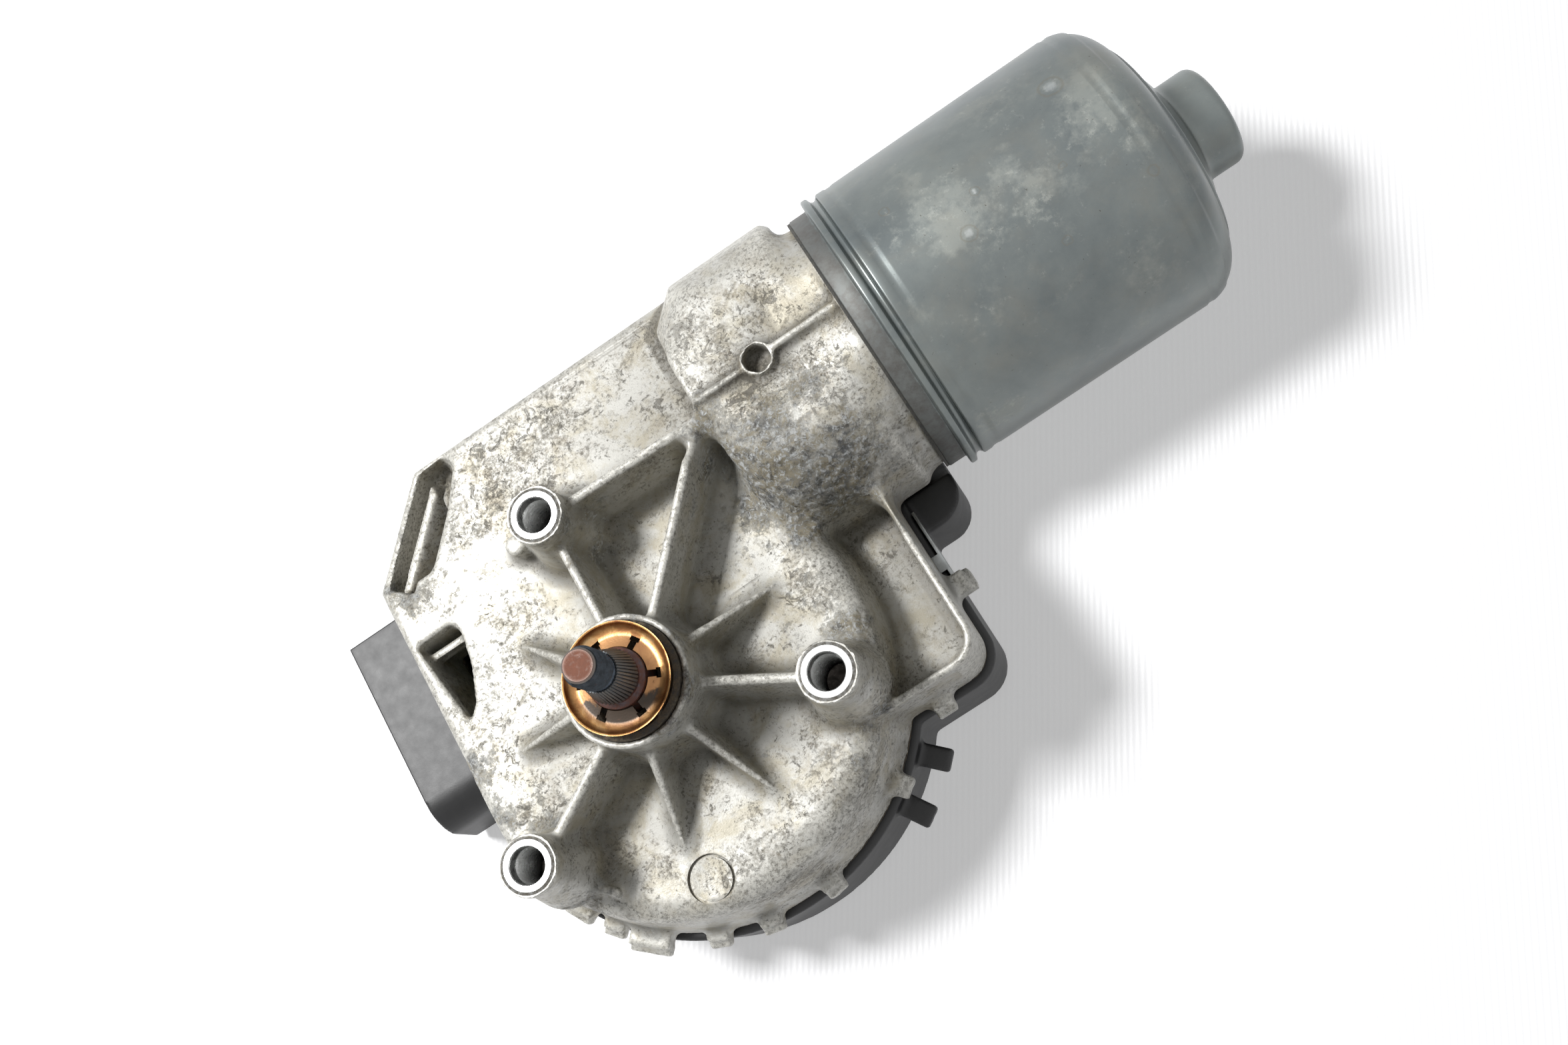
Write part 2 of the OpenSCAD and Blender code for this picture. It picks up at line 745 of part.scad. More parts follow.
module gear_housing() {
    color("gainsboro")
        difference() {
            union() {
                difference() {
                    union() {
                        drum_body();
                        box_body();
                        pocket_plan(0, rim_z, rim_drop - web_drop, pocket_far_y);
                    }
                    case_cavity();
                    difference() {
                        pocket_plan(pocket_wall, -pocket_drop, 40, pocket_far_y);
                        drum_body();
                    }
                    window_cut();
                    corner_slot();
                    ejector_mark();
                }
                neck_body();
                flange_body();
                neck_crest();
                hub_body();
                for (a = boss_angles)
                    rotate([0, 0, a])
                        translate([bolt_circle_r, 0, 0])
                            boss(boss_foot_r);
                case_ribs();
                web_marks();
                screw_bosses();
                lugs();
            }
            worm_tunnel();
            neck_inside();
            screw_pilots();
            translate([0, 0, -hub_end_drop - 1])
                cylinder(r = bush_r, h = hub_end_drop + 10, $fn = fine);
            translate([0, 0, hub_top - hub_recess_depth])
                cylinder(r = hub_recess_r, h = 10, $fn = fine);
            for (a = boss_angles)
                rotate([0, 0, a])
                    translate([bolt_circle_r, 0, 0])
                        boss_bore();
            translate([socket_x, motor_y, -neck_drop - 2.4])
                cylinder(r = 2.9, h = 6, $fn = 48);
        }
}

module hub_bush(z) {
    color("peru")
        translate([0, 0, z])
            tube(bush_r - press, shaft_r + running, bush_len);
}

// Rubber lip seal in the hub recess, under the cup washer
module hub_seal() {
    floor_z = hub_top - hub_recess_depth;
    color("dimgray")
        rotate_extrude($fn = fine)
            polygon([
                [shaft_r + 0.3, floor_z], [hub_recess_r - seat, floor_z],
                [hub_recess_r - seat, hub_top + 0.6], [hub_recess_r - 1.3, hub_top + 1.2],
                [hub_recess_r - 1.6, floor_z + 2.2], [shaft_r + 0.3, floor_z + 2.2]
            ]);
}

// Pressed spring washer: dished web, turned-up rim and six short slots
module cup_washer() {
    low = washer_z - 2;
    inner_r = shaft_r + press;
    color("darkgoldenrod")
        difference() {
            rotate_extrude($fn = fine)
                polygon([
                    [inner_r, low + 0.7], [washer_r - 2.2, low], [washer_r - 1, low + 0.3],
                    [washer_r, low + 1.3], [washer_r, washer_z], [washer_r - washer_t, washer_z],
                    [washer_r - washer_t, low + 1.5], [washer_r - 1.5, low + washer_t + 0.3],
                    [washer_r - 2.3, low + washer_t], [inner_r, low + 0.7 + washer_t]
                ]);
            for (i = [0:5])
                rotate([0, 0, 60 * i + 20])
                    translate([washer_r - 3.7, -0.5, 0])
                        cube([2, 1, washer_z + 3]);
        }
}

module shaft_shim() {
    color("silver")
        translate([0, 0, shim_z])
            tube(wheel_hub_r, shaft_r + press, shim_t);
}

// Shaft with a smooth collar, a cone for the wiper arm and a threaded end
module output_shaft() {
    collar_z = cone_z - 1.9;
    neck_z = thread_z - 0.6;
    color("slategray")
        rotate_extrude($fn = fine)
            polygon([
                [0, shaft_low_z], [shaft_r - 0.5, shaft_low_z], [shaft_r, shaft_low_z + 0.5],
                [shaft_r, collar_z], [cone_r - 0.5, collar_z + 0.5], [cone_r - 0.5, collar_z + 1.2],
                [cone_r, cone_z], [cone_top_r, neck_z], [thread_r - 0.6, neck_z + 0.4],
                [thread_r - 0.6, thread_z + 0.4], [thread_r, thread_z + 1],
                [thread_r, shaft_top - 1], [thread_r - 1, shaft_top], [0, shaft_top]
            ]);
}

// Toothed rim: one outline, twisted to the lead of the worm
module wheel_teeth_ring() {
    step = 360 / wheel_teeth;
    turn = wheel_w * tan(worm_lead) / wheel_r * 180 / PI;
    translate([0, 0, wheel_low_z])
        rotate([0, 0, -turn / 2])
            linear_extrude(wheel_w, twist = -turn, slices = 1)
                difference() {
                    polygon([
                        for (i = [0:wheel_teeth - 1], p = tooth_profile())
                            let(a = 90 + (i + 0.5) * step)
                                [p[0] * cos(a) + p[1] * sin(a), p[0] * sin(a) - p[1] * cos(a)]
                    ]);
                    circle(r = wheel_root_r - 3.4, $fn = 72);
                }
}

// Half width of a wheel tooth at a given radius
function tooth_half(r) = (0.5 - thread_share) * worm_pitch - mesh_play - (r - wheel_r) * tan(flank);

// One tooth as radius and offset, from one root to the other
function tooth_profile() = [
    for (r = [wheel_root_r, wheel_r, wheel_tip_r]) [r, tooth_half(r)],
    for (r = [wheel_tip_r, wheel_r, wheel_root_r]) [r, -tooth_half(r)]
];

module worm_wheel() {
    spoke_r = (wheel_root_r + wheel_hub_r) / 2 - 1;
    color("ivory")
        union() {
            wheel_teeth_ring();
            translate([0, 0, motor_z - wheel_web_t / 2])
                difference() {
                    cylinder(r = wheel_root_r - 2.8, h = wheel_web_t, $fn = fine);
                    translate([0, 0, -1])
                        cylinder(r = wheel_hub_r - 1, h = wheel_web_t + 2, $fn = fine);
                    for (i = [0:5])
                        rotate([0, 0, 60 * i])
                            translate([spoke_r, 0, -1])
                                cylinder(r = 5.5, h = wheel_web_t + 2, $fn = 48);
                }
            translate([0, 0, wheel_low_z])
                tube(wheel_hub_r, shaft_r + press, shim_z - wheel_low_z);
        }
}

module wheel_driver() {
    plate_r = wheel_hub_r + 4;
    color("silver")
        translate([0, 0, wheel_low_z - driver_t])
            difference() {
                tube(plate_r, shaft_r + press, driver_t);
                for (i = [0:5])
                    rotate([0, 0, 60 * i + 30])
                        translate([plate_r, 0, -1])
                            cylinder(r = 2.4, h = driver_t + 2, $fn = 32);
            }
}

module sensor_magnet() {
    color("darkslategray")
        translate([0, 0, shaft_low_z - pole_t])
            cylinder(r = shaft_r - 0.6, h = pole_t, $fn = 64);
}

// Deep-drawn can: mouth band, bead, groove, barrel, rear shoulder and bearing cap
module motor_can() {
    bead_x = mouth_x + band_w;
    groove_x = bead_x + bead_w;
    in_r = can_r - can_wall;
    core_r0 = can_r - shoulder_r;
    shoulder_x = can_end_x - dome_rise - shoulder_r;
    fillet = 2.4;
    rim = 1.8;
    color("lightslategray")
        on_motor(0)
            rotate_extrude($fn = 128)
                polygon(concat(
                    [
                        [band_r - can_wall, mouth_x], [band_r, mouth_x], [band_r, bead_x],
                        [bead_r - 0.3, bead_x + 0.1], [bead_r, bead_x + 0.4],
                        [bead_r, groove_x - 0.4], [bead_r - 0.3, groove_x],
                        [groove_r, groove_x + 0.3], [groove_r, barrel_x - 0.2], [can_r, barrel_x + 0.5]
                    ],
                    arc(core_r0, shoulder_x, shoulder_r, 0, 90, 8),
                    arc(cap_r + fillet, can_end_x + fillet, fillet, 270, 180, 4),
                    arc(cap_r - rim, cap_end_x - rim, rim, 0, 90, 4),
                    [[0, cap_end_x], [0, cap_end_x - can_wall], [cap_r - can_wall, cap_end_x - can_wall]],
                    [[cap_r - can_wall, can_end_x - can_wall]],
                    arc(core_r0, shoulder_x, shoulder_r - can_wall, 90, 0, 6),
                    [[in_r, barrel_x + 3], [band_r - can_wall, barrel_x + 1]]
                ));
}

module can_gasket() {
    color("lightgray")
        on_motor(mouth_x - gasket_t)
            tube(band_r - 0.2, spigot_r + press, gasket_t);
}

// Sector of a ring about the motor axis
module ring_sector(r_in, r_out, x, length, angle, sweep) {
    on_motor(x)
        rotate([0, 0, angle - sweep / 2])
            rotate_extrude(angle = sweep, $fn = fine)
                translate([r_in, 0])
                    square([r_out - r_in, length]);
}

module field_magnet(i) {
    color("dimgray")
        ring_sector(magnet_out_r - magnet_t, magnet_out_r, magnet_x, magnet_len, 45 + 90 * i, magnet_arc);
}

// Spring clips between the magnets, each a channel with two legs
module magnet_clips() {
    gap = 90 - magnet_arc;
    base_r = magnet_out_r - 0.8;
    color("silver")
        for (i = [0:3]) {
            ring_sector(base_r, magnet_out_r, magnet_x + 4, magnet_len - 8, 90 * i, gap - 1);
            for (s = [-1, 1])
                ring_sector(
                    magnet_out_r - 4, base_r + tiny, magnet_x + 4, magnet_len - 8,
                    90 * i + s * (gap / 2 - 1), 1
                );
        }
}

// Half angle that the worm thread covers at a given radius
function thread_half(r) = (thread_share * worm_pitch - (r - worm_r) * tan(flank)) * 360 / worm_pitch;

// Cut across the worm thread
function worm_outline() = let(
    low = worm_root_r - 0.5,
    tip_a = thread_half(worm_tip_r),
    radii = [for (i = [1:4]) worm_tip_r + (low - worm_tip_r) * i / 4]
) concat(
    [for (i = [-2:2]) worm_tip_r * [cos(tip_a * i / 2), sin(tip_a * i / 2)]],
    [for (r = radii) r * [cos(thread_half(r)), sin(thread_half(r))]],
    [for (i = [3:-1:0]) radii[i] * [cos(thread_half(radii[i])), -sin(thread_half(radii[i]))]]
);

// Armature shaft with its worm, collar and front journal
module armature_shaft() {
    half = worm_len / 2;
    color("lightsteelblue")
        on_motor(0) {
            translate([0, 0, -half])
                rotate([0, 0, worm_phase])
                    linear_extrude(
                        worm_len, twist = -360 * worm_len / worm_pitch,
                        slices = round(18 * worm_len / worm_pitch)
                    )
                        polygon(worm_outline());
            translate([0, 0, worm_end_x])
                cylinder(r = worm_root_r, h = half + 3 - worm_end_x, $fn = fine);
            translate([0, 0, journal_x])
                cylinder(r = journal_r, h = worm_end_x - journal_x + 1, $fn = fine);
            translate([0, 0, half + 2])
                cylinder(r = arm_shaft_r, h = shaft_end_x - half - 2, $fn = fine);
            translate([0, 0, ball_brg_x - 3])
                cylinder(r = arm_shaft_r + 1.4, h = 3 - end_play, $fn = fine);
        }
}

module armature_core() {
    color("gray")
        on_motor(core_x)
            difference() {
                tube(core_r, arm_shaft_r + press, core_len);
                for (i = [0:core_slots - 1])
                    rotate([0, 0, i * 360 / core_slots]) {
                        translate([slot_mid_r, 0, -1])
                            cylinder(r = slot_r, h = core_len + 2, $fn = 32);
                        translate([slot_mid_r, -0.9, -1])
                            cube([core_r - slot_mid_r + 1, 1.8, core_len + 2]);
                    }
            }
}

// Copper coils: a bar in each slot and a bundle at each end of the stack
module armature_windings() {
    coil_r = slot_mid_r + slot_r;
    foot_r = arm_shaft_r + 3;
    color("orangered")
        on_motor(0) {
            for (x = [core_x - end_turn - tiny, core_x + core_len + tiny])
                translate([0, 0, x])
                    rotate_extrude($fn = fine)
                        polygon([
                            [foot_r, 0], [coil_r - 3, 0], [coil_r, 2], [coil_r, end_turn - 2],
                            [coil_r - 1, end_turn], [foot_r, end_turn]
                        ]);
            for (i = [0:core_slots - 1])
                rotate([0, 0, i * 360 / core_slots])
                    translate([slot_mid_r, 0, core_x - 1])
                        cylinder(r = slot_r - seat, h = core_len + 2, $fn = 32);
        }
}

module commutator() {
    color("chocolate")
        on_motor(comm_x)
            difference() {
                union() {
                    tube(comm_r, arm_shaft_r + press, comm_len);
                    translate([0, 0, comm_len - 1.5])
                        tube(comm_r + 1.2, arm_shaft_r + 1, 1.5);
                }
                for (i = [0:core_slots - 1])
                    rotate([0, 0, (i + 0.5) * 360 / core_slots])
                        translate([comm_r - 1, -0.3, -1])
                            cube([4, 0.6, comm_len + 2]);
            }
}

module race_groove() {
    translate([0, 0, ball_brg_w / 2])
        rotate_extrude($fn = fine)
            translate([race_r, 0])
                circle(r = ball_r + ball_gap, $fn = 48);
}

module bearing_outer_ring() {
    color("silver")
        on_motor(ball_brg_x)
            difference() {
                tube(ball_brg_r - press, race_r + 1.2, ball_brg_w);
                race_groove();
            }
}

module bearing_inner_ring() {
    color("silver")
        on_motor(ball_brg_x)
            difference() {
                tube(race_r - 1.2, arm_shaft_r + press, ball_brg_w);
                race_groove();
            }
}

module bearing_balls() {
    color("whitesmoke")
        on_motor(ball_brg_x + ball_brg_w / 2)
            for (i = [0:ball_count - 1])
                rotate([0, 0, i * 360 / ball_count])
                    translate([race_r, 0, 0])
                        sphere(r = ball_r, $fn = 32);
}

// Plate that keeps the ball bearing in its seat
module bearing_retainer() {
    color("silver")
        on_motor(brg_end_x)
            tube(ball_brg_r + case_wall - 0.4, race_r + 1.4, 1);
}

module worm_end_bush() {
    color("peru")
        on_motor(journal_x + 0.3)
            tube(end_bush_r - press, journal_r + running, end_bush_len);
}

module worm_thrust_button() {
    color("ivory")
        on_motor(thrust_x)
            cylinder(r = end_bush_r - press, h = journal_x - thrust_x - end_play, $fn = 64);
}

module rear_bearing() {
    color("peru")
        on_motor(rear_brg_x)
            difference() {
                intersection() {
                    sphere(r = rear_brg_r, $fn = 64);
                    translate([0, 0, -4.2])
                        cylinder(r = rear_brg_r + 1, h = 8.4, $fn = 64);
                }
                translate([0, 0, -10])
                    cylinder(r = arm_shaft_r + running, h = 20, $fn = fine);
            }
}

module rear_bearing_clip() {
    color("silver")
        on_motor(rear_brg_x)
            difference() {
                translate([0, 0, -clip_w / 2])
                    tube(cap_r - can_wall - press, rear_brg_r * 0.8, clip_w);
                sphere(r = rear_brg_r + press, $fn = 64);
            }
}

module rear_thrust_button() {
    low_x = shaft_end_x + end_play;
    color("ivory")
        on_motor(low_x)
            cylinder(r = arm_shaft_r + 1, h = cap_end_x - can_wall - low_x, $fn = 64);
}

// Places children in front of the brush card, local X pointing away from the shaft
module at_brush(i) {
    on_motor(card_x)
        rotate([0, 0, brush_angles[i]])
            children();
}

// Round card with a guide for each brush
module brush_card() {
    guide_x = comm_r + 2.2;
    side = brush_w / 2 + seat;
    color("saddlebrown") {
        on_motor(card_x)
            difference() {
                tube(flange_bore_r - press, guide_x, card_t);
                for (a = [30, 115, 205, 300])
                    rotate([0, 0, a])
                        translate([flange_bore_r - 6, 0, -1])
                            cylinder(r = 1.6, h = card_t + 2, $fn = 32);
            }
        for (i = [0:2])
            at_brush(i)
                translate([guide_x, 0, 0]) {
                    for (y = [-side - 1, side])
                        translate([0, y, -brush_w - 0.4])
                            cube([brush_len, 1, brush_w + 0.4 + tiny]);
                    translate([0, -side - 1, -brush_w - 1.4])
                        cube([brush_len, 2 * side + 2, 1 + tiny]);
                }
    }
}

module brush(i) {
    color("darkslategray")
        at_brush(i)
            translate([comm_r + 0.3, -brush_w / 2, -brush_w - seat])
                cube([brush_len, brush_w, brush_w]);
}

// Rolled spring behind each brush
module brush_springs() {
    coil_r = 2.2;
    color("silver")
        for (i = [0:2])
            at_brush(i)
                translate([comm_r + brush_len + 0.4 + coil_r, 0, -brush_w])
                    tube(coil_r, coil_r - 0.5, brush_w - seat);
}

module suppression_chokes() {
    color("dimgray")
        for (a = choke_angles)
            on_motor(card_x - choke_r)
                rotate([0, 0, a])
                    translate([neck_bore_r - choke_r - 1.4, 0, 0])
                        rotate([90, 0, 0])
                            translate([0, 0, -choke_len / 2])
                                cylinder(r = choke_r, h = choke_len, $fn = 48);
}

// Plan of the cover, drawn in from its outer face by a given inset
module cover_plan(inset, z, h) {
    lip = cover_lip - inset;
    intersection() {
        translate([0, 0, z])
            cylinder(r = drum_r + lip, h = h, $fn = fine);
        translate([case_end_x - lip, -60, z - 1])
            cube([120, 120, h + 2]);
    }
    translate([0, 0, z])
        linear_extrude(h)
            polygon(box_plan(-lip, neck_x - neck_gap - inset));
    pocket_plan(-lip, z, h, duct_far_y);
}

// Space that the neck needs, grown by a given gap
module neck_space(gap) {
    translate([0, neck_shift, 0]) {
        on_motor(neck_x - gap)
            cylinder(
                r1 = neck_r - neck_cone * 0.85 + gap, r2 = neck_r + gap,
                h = neck_cone + gap, $fn = fine
            );
        on_motor(neck_x + neck_cone - tiny)
            cylinder(r = neck_r + gap, h = 60, $fn = fine);
    }
}

// Duct that carries the motor leads to the neck
module duct_plan(inset, z, h) {
    r = duct_corner_r - inset;
    near = duct_y + inset;
    end = duct_x - inset;
    translate([pocket_x - 4, near, z])
        cube([end - r - pocket_x + 4, duct_far_y - near, h]);
    translate([pocket_x - 4, near + r, z])
        cube([end - pocket_x + 4, duct_far_y - near - r, h]);
    translate([end - r, near + r, z])
        cylinder(r = r, h = h, $fn = 48);
}

// Connector shroud, its edge on one side well rounded
module shroud(inset, x0, x1) {
    z1 = conn_top_z - inset;
    z0 = conn_top_z - conn_h + inset;
    y0 = conn_y + inset;
    y1 = conn_y + conn_len - inset;
    r = conn_round - inset;
    translate([x0, y0 + r, z0])
        cube([x1 - x0, y1 - y0 - r, z1 - z0]);
    translate([x0, y0, z0])
        cube([x1 - x0, r + 1, z1 - z0 - r]);
    translate([x0, y0 + r, z1 - r])
        rotate([0, 90, 0])
            cylinder(r = r, h = x1 - x0, $fn = 64);
}

module at_screws() {
    for (p = screw_xy)
        translate([p[0], p[1], 0])
            children();
}

module cover_shell() {
    floor_z = cover_base_z + cover_wall;
    difference() {
        union() {
            cover_plan(0, cover_base_z, cover_top_z - cover_base_z);
            duct_plan(0, cover_base_z, -duct_drop - cover_base_z);
        }
        neck_space(neck_gap);
        difference() {
            union() {
                cover_plan(cover_wall, floor_z, cover_top_z - floor_z - 2.6);
                duct_plan(cover_wall, floor_z, cover_drop - duct_drop - 2 * cover_wall);
                cover_plan(cover_wall + ledge_w, floor_z + 1, 40);
            }
            neck_space(neck_gap + cover_wall);
        }
        translate([card_x - 8.6, duct_y + cover_wall, board_z - 0.4])
            cube([6.2, 24, 5]);
    }
}

module electronics_cover() {
    post_h = board_z - board_t - cover_base_z;
    color("#2b2b2b")
        difference() {
            union() {
                cover_shell();
                shroud(0, conn_mouth_x, conn_back_x + 0.5);
                intersection() {
                    at_screws() {
                        translate([0, 0, cover_base_z + 0.5])
                            cylinder(r = 6, h = post_h - 0.5, $fn = 48);
                        translate([0, 0, cover_base_z + 1])
                            cylinder(r = 4.4, h = cover_drop - rim_drop - 1, $fn = 48);
                    }
                    cover_plan(0, cover_base_z, 40);
                }
                for (a = tab_angles)
                    rotate([0, 0, a])
                        translate([drum_r + cover_lip - 1, -tab_w / 2, cover_top_z - 5.4])
                            cube([tab_len + 1, tab_w, 2.4]);
            }
            shroud(conn_wall, conn_mouth_x - 1, conn_back_x - conn_wall);
            for (i = [0:pin_count - 1])
                translate([conn_back_x - conn_wall - 1, pin_y(i) - pin_w / 2 - press, board_z - press])
                    cube([conn_wall + cover_wall + 2, pin_w + 2 * press, blade_t + 2 * press]);
            at_screws() {
                translate([0, 0, cover_base_z - 1])
                    cylinder(r = screw_head_r + 0.3, h = screw_seat_z - cover_base_z + 1, $fn = 48);
                translate([0, 0, cover_base_z])
                    cylinder(r = screw_r + 0.2, h = 40, $fn = 48);
            }
        }
}

// Seal between the casting rim and the cover's ledge
module cover_seal() {
    color("black")
        difference() {
            cover_plan(cover_lip + 0.2, cover_top_z, seal_t);
            neck_space(neck_gap + 0.4);
            difference() {
                cover_plan(cover_wall + ledge_w, cover_top_z - 5, 10);
                neck_space(neck_gap + cover_wall);
            }
            at_screws()
                translate([0, 0, cover_top_z - 1])
                    cylinder(r = 4.6, h = 4, $fn = 48);
        }
}

module cover_screws() {
    color("gray")
        at_screws() {
            translate([0, 0, screw_seat_z - 2])
                cylinder(r = screw_head_r, h = 2, $fn = 48);
            translate([0, 0, screw_seat_z - tiny])
                cylinder(r = screw_r, h = screw_len, $fn = 48);
        }
}

module circuit_board() {
    color("darkgreen")
        difference() {
            union() {
                cover_plan(cover_wall + 0.5, board_z - board_t, board_t);
                duct_plan(cover_wall + 0.5, board_z - board_t, board_t);
            }
            neck_space(neck_gap + cover_wall + 0.5);
            at_screws()
                translate([0, 0, -70])
                    cylinder(r = 4.9, h = 40, $fn = 48);
        }
}

module park_relay() {
    color("black")
        translate([-relay_len / 10, case_side - relay_w - 7, board_z])
            cube([relay_len, relay_w, relay_h]);
}

module board_capacitor() {
    color("midnightblue")
        translate([(drum_r + wheel_hub_r) / 2 + 0.1, -drum_r * 0.41, board_z])
            cylinder(r = capacitor_r, h = capacitor_h, $fn = 64);
}

module control_chip() {
    color("black")
        translate([case_end_x + 10.6, 0, board_z])
            cube([chip_w, chip_w, chip_w / 6]);
}

module position_sensor() {
    color("black")
        translate([-sensor_w / 2, -sensor_w / 2, board_z])
            cube([sensor_w, sensor_w, sensor_h]);
}

function pin_y(i) = conn_y + conn_len * (i + 1) / (pin_count + 1);

// Contact blades from the board through the back wall of the socket
module connector_blades() {
    color("silver")
        for (i = [0:pin_count - 1])
            translate([conn_mouth_x + 5, pin_y(i) - pin_w / 2, board_z])
                cube([conn_out + cover_wall + 2, pin_w, blade_t]);
}

// Two bars from the board through the neck wall to the brush card
module motor_lead_bars() {
    color("goldenrod")
        for (p = [[4 * bar_w, motor_y - 8], [2.6 * bar_w, motor_y - 8 - 1.7 * bar_w]])
            translate([card_x - p[0], 0, board_z]) {
                translate([0, duct_y + cover_wall + 1, 0])
                    cube([bar_w, p[1] - duct_y - cover_wall + 1, bar_t]);
                translate([0, p[1], 0])
                    cube([p[0], bar_w, bar_t]);
            }
}

// Earthing strip along the outside of the cover, with a tongue that touches the casting
module ground_strip() {
    x = pocket_x + cover_lip;
    y = duct_y - strip_foot - 0.2;
    strip_t = 0.7;
    color("silver") {
        translate([x, y, rim_z - 5])
            cube([strip_t, strip_foot, 5.7]);
        translate([x, y, -duct_drop + 0.2])
            cube([strip_t, strip_arm, rim_z + duct_drop + 0.5]);
        translate([pocket_x, -6, rim_z + 0.1])
            cube([cover_lip + strip_t, 4, 0.6]);
    }
}

gear_housing();
hub_bush(hub_top - hub_recess_depth - bush_len);  // hub_bush_upper
hub_bush(-hub_end_drop);  // hub_bush_lower
hub_seal();
cup_washer();
shaft_shim();
output_shaft();
worm_wheel();
wheel_driver();
sensor_magnet();
motor_can();
can_gasket();
field_magnet(0);  // field_magnet_1
field_magnet(1);  // field_magnet_2
field_magnet(2);  // field_magnet_3
field_magnet(3);  // field_magnet_4
magnet_clips();
armature_shaft();
armature_core();
armature_windings();
commutator();
bearing_outer_ring();
bearing_inner_ring();
bearing_balls();
bearing_retainer();
worm_end_bush();
worm_thrust_button();
rear_bearing();
rear_bearing_clip();
rear_thrust_button();
brush_card();
brush(0);  // brush_1
brush(1);  // brush_2
brush(2);  // brush_3
brush_springs();
suppression_chokes();
electronics_cover();
cover_seal();
cover_screws();
circuit_board();
park_relay();
board_capacitor();
control_chip();
position_sensor();
connector_blades();
motor_lead_bars();
ground_strip();
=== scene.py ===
import json
import math
from types import SimpleNamespace

import bmesh
import bpy
import numpy as np
from mathutils import Matrix, Vector, noise as mathNoise


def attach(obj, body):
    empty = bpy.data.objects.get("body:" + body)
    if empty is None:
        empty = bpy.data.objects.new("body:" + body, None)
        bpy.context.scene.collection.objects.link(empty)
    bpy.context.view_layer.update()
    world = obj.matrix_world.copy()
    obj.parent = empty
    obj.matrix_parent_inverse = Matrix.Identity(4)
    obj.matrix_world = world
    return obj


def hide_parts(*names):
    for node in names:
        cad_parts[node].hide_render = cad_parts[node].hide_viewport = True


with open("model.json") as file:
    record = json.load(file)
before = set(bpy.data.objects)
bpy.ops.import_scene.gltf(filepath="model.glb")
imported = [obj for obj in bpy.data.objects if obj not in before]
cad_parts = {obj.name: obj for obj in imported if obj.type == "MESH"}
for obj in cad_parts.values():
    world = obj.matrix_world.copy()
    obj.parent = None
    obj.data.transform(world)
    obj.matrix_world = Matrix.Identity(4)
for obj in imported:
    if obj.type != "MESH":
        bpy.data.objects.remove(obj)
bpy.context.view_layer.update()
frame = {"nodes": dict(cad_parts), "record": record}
cadNodes = frame["nodes"]
mm = 0.001
print("frame loaded,", len(cadNodes), "nodes")


def hexColour(text):
    channels = [int(text[i:i + 2], 16) / 255 for i in (1, 3, 5)]
    return [c / 12.92 if c <= 0.04045 else ((c + 0.055) / 1.055) ** 2.4 for c in channels] + [1.0]


def perMm(size):  # scale of a pattern whose features are this many millimetres wide
    return 1000.0 / size


def socketNamed(sockets, name):
    for s in sockets:
        if s.identifier == name:
            return s
    return next(s for s in sockets if s.name == name)


def feed(tree, given, socket):  # a hex colour, a plain value, or what another node gives out
    if isinstance(given, (Value, bpy.types.NodeSocket)):
        tree.links.new(getattr(given, "socket", given), socket)
    else:
        socket.default_value = hexColour(given) if isinstance(given, str) else given


def addNode(tree, kind, settings=None, links=None):
    node = tree.nodes.new(kind)
    for name, setting in (settings or {}).items():
        if hasattr(node, name):
            setattr(node, name, setting)
        else:
            socketNamed(node.inputs, name).default_value = setting
    for name, given in (links or {}).items():
        feed(tree, given, socketNamed(node.inputs, name))
    return node


class Value:  # what a node gives out; plain arithmetic on it adds the nodes for it
    def __init__(self, tree, socket):
        self.tree, self.socket = tree, socket

    def __add__(self, other):
        return maths(self.tree, "ADD", self, other)

    def __sub__(self, other):
        return maths(self.tree, "SUBTRACT", self, other)

    def __rsub__(self, other):
        return maths(self.tree, "SUBTRACT", other, self)

    def __mul__(self, other):
        return maths(self.tree, "MULTIPLY", self, other)

    def __or__(self, other):  # the larger of the two
        return maths(self.tree, "MAXIMUM", self, other)

    def held(self):  # kept between 0 and 1
        self.socket.node.use_clamp = True
        return self


def outputOf(tree, kind, settings=None, links=None, out=0):
    return Value(tree, addNode(tree, kind, settings, links).outputs[out])


def maths(tree, kind, a, b):
    node = addNode(tree, "ShaderNodeMath", {"operation": kind})
    feed(tree, a, node.inputs[0])
    feed(tree, b, node.inputs[1])
    return Value(tree, node.outputs[0])


def xyz(tree, **parts):
    return outputOf(tree, "ShaderNodeCombineXYZ", links=parts)


def ramp(given, stops):
    node = addNode(given.tree, "ShaderNodeValToRGB", links={"Fac": given})
    band = node.color_ramp
    while len(band.elements) < len(stops):
        band.elements.new(0.5)
    for element, (position, colour) in zip(band.elements, stops):
        element.position = position
        element.color = hexColour(colour) if isinstance(colour, str) else [colour, colour, colour, 1.0]
    return Value(given.tree, node.outputs["Color"])


def blend(amount, a, b):
    node = addNode(amount.tree, "ShaderNodeMix", {"data_type": "RGBA"})
    for name, given in (("Factor_Float", amount), ("A_Color", a), ("B_Color", b)):
        feed(amount.tree, given, socketNamed(node.inputs, name))
    return Value(amount.tree, socketNamed(node.outputs, "Result_Color"))


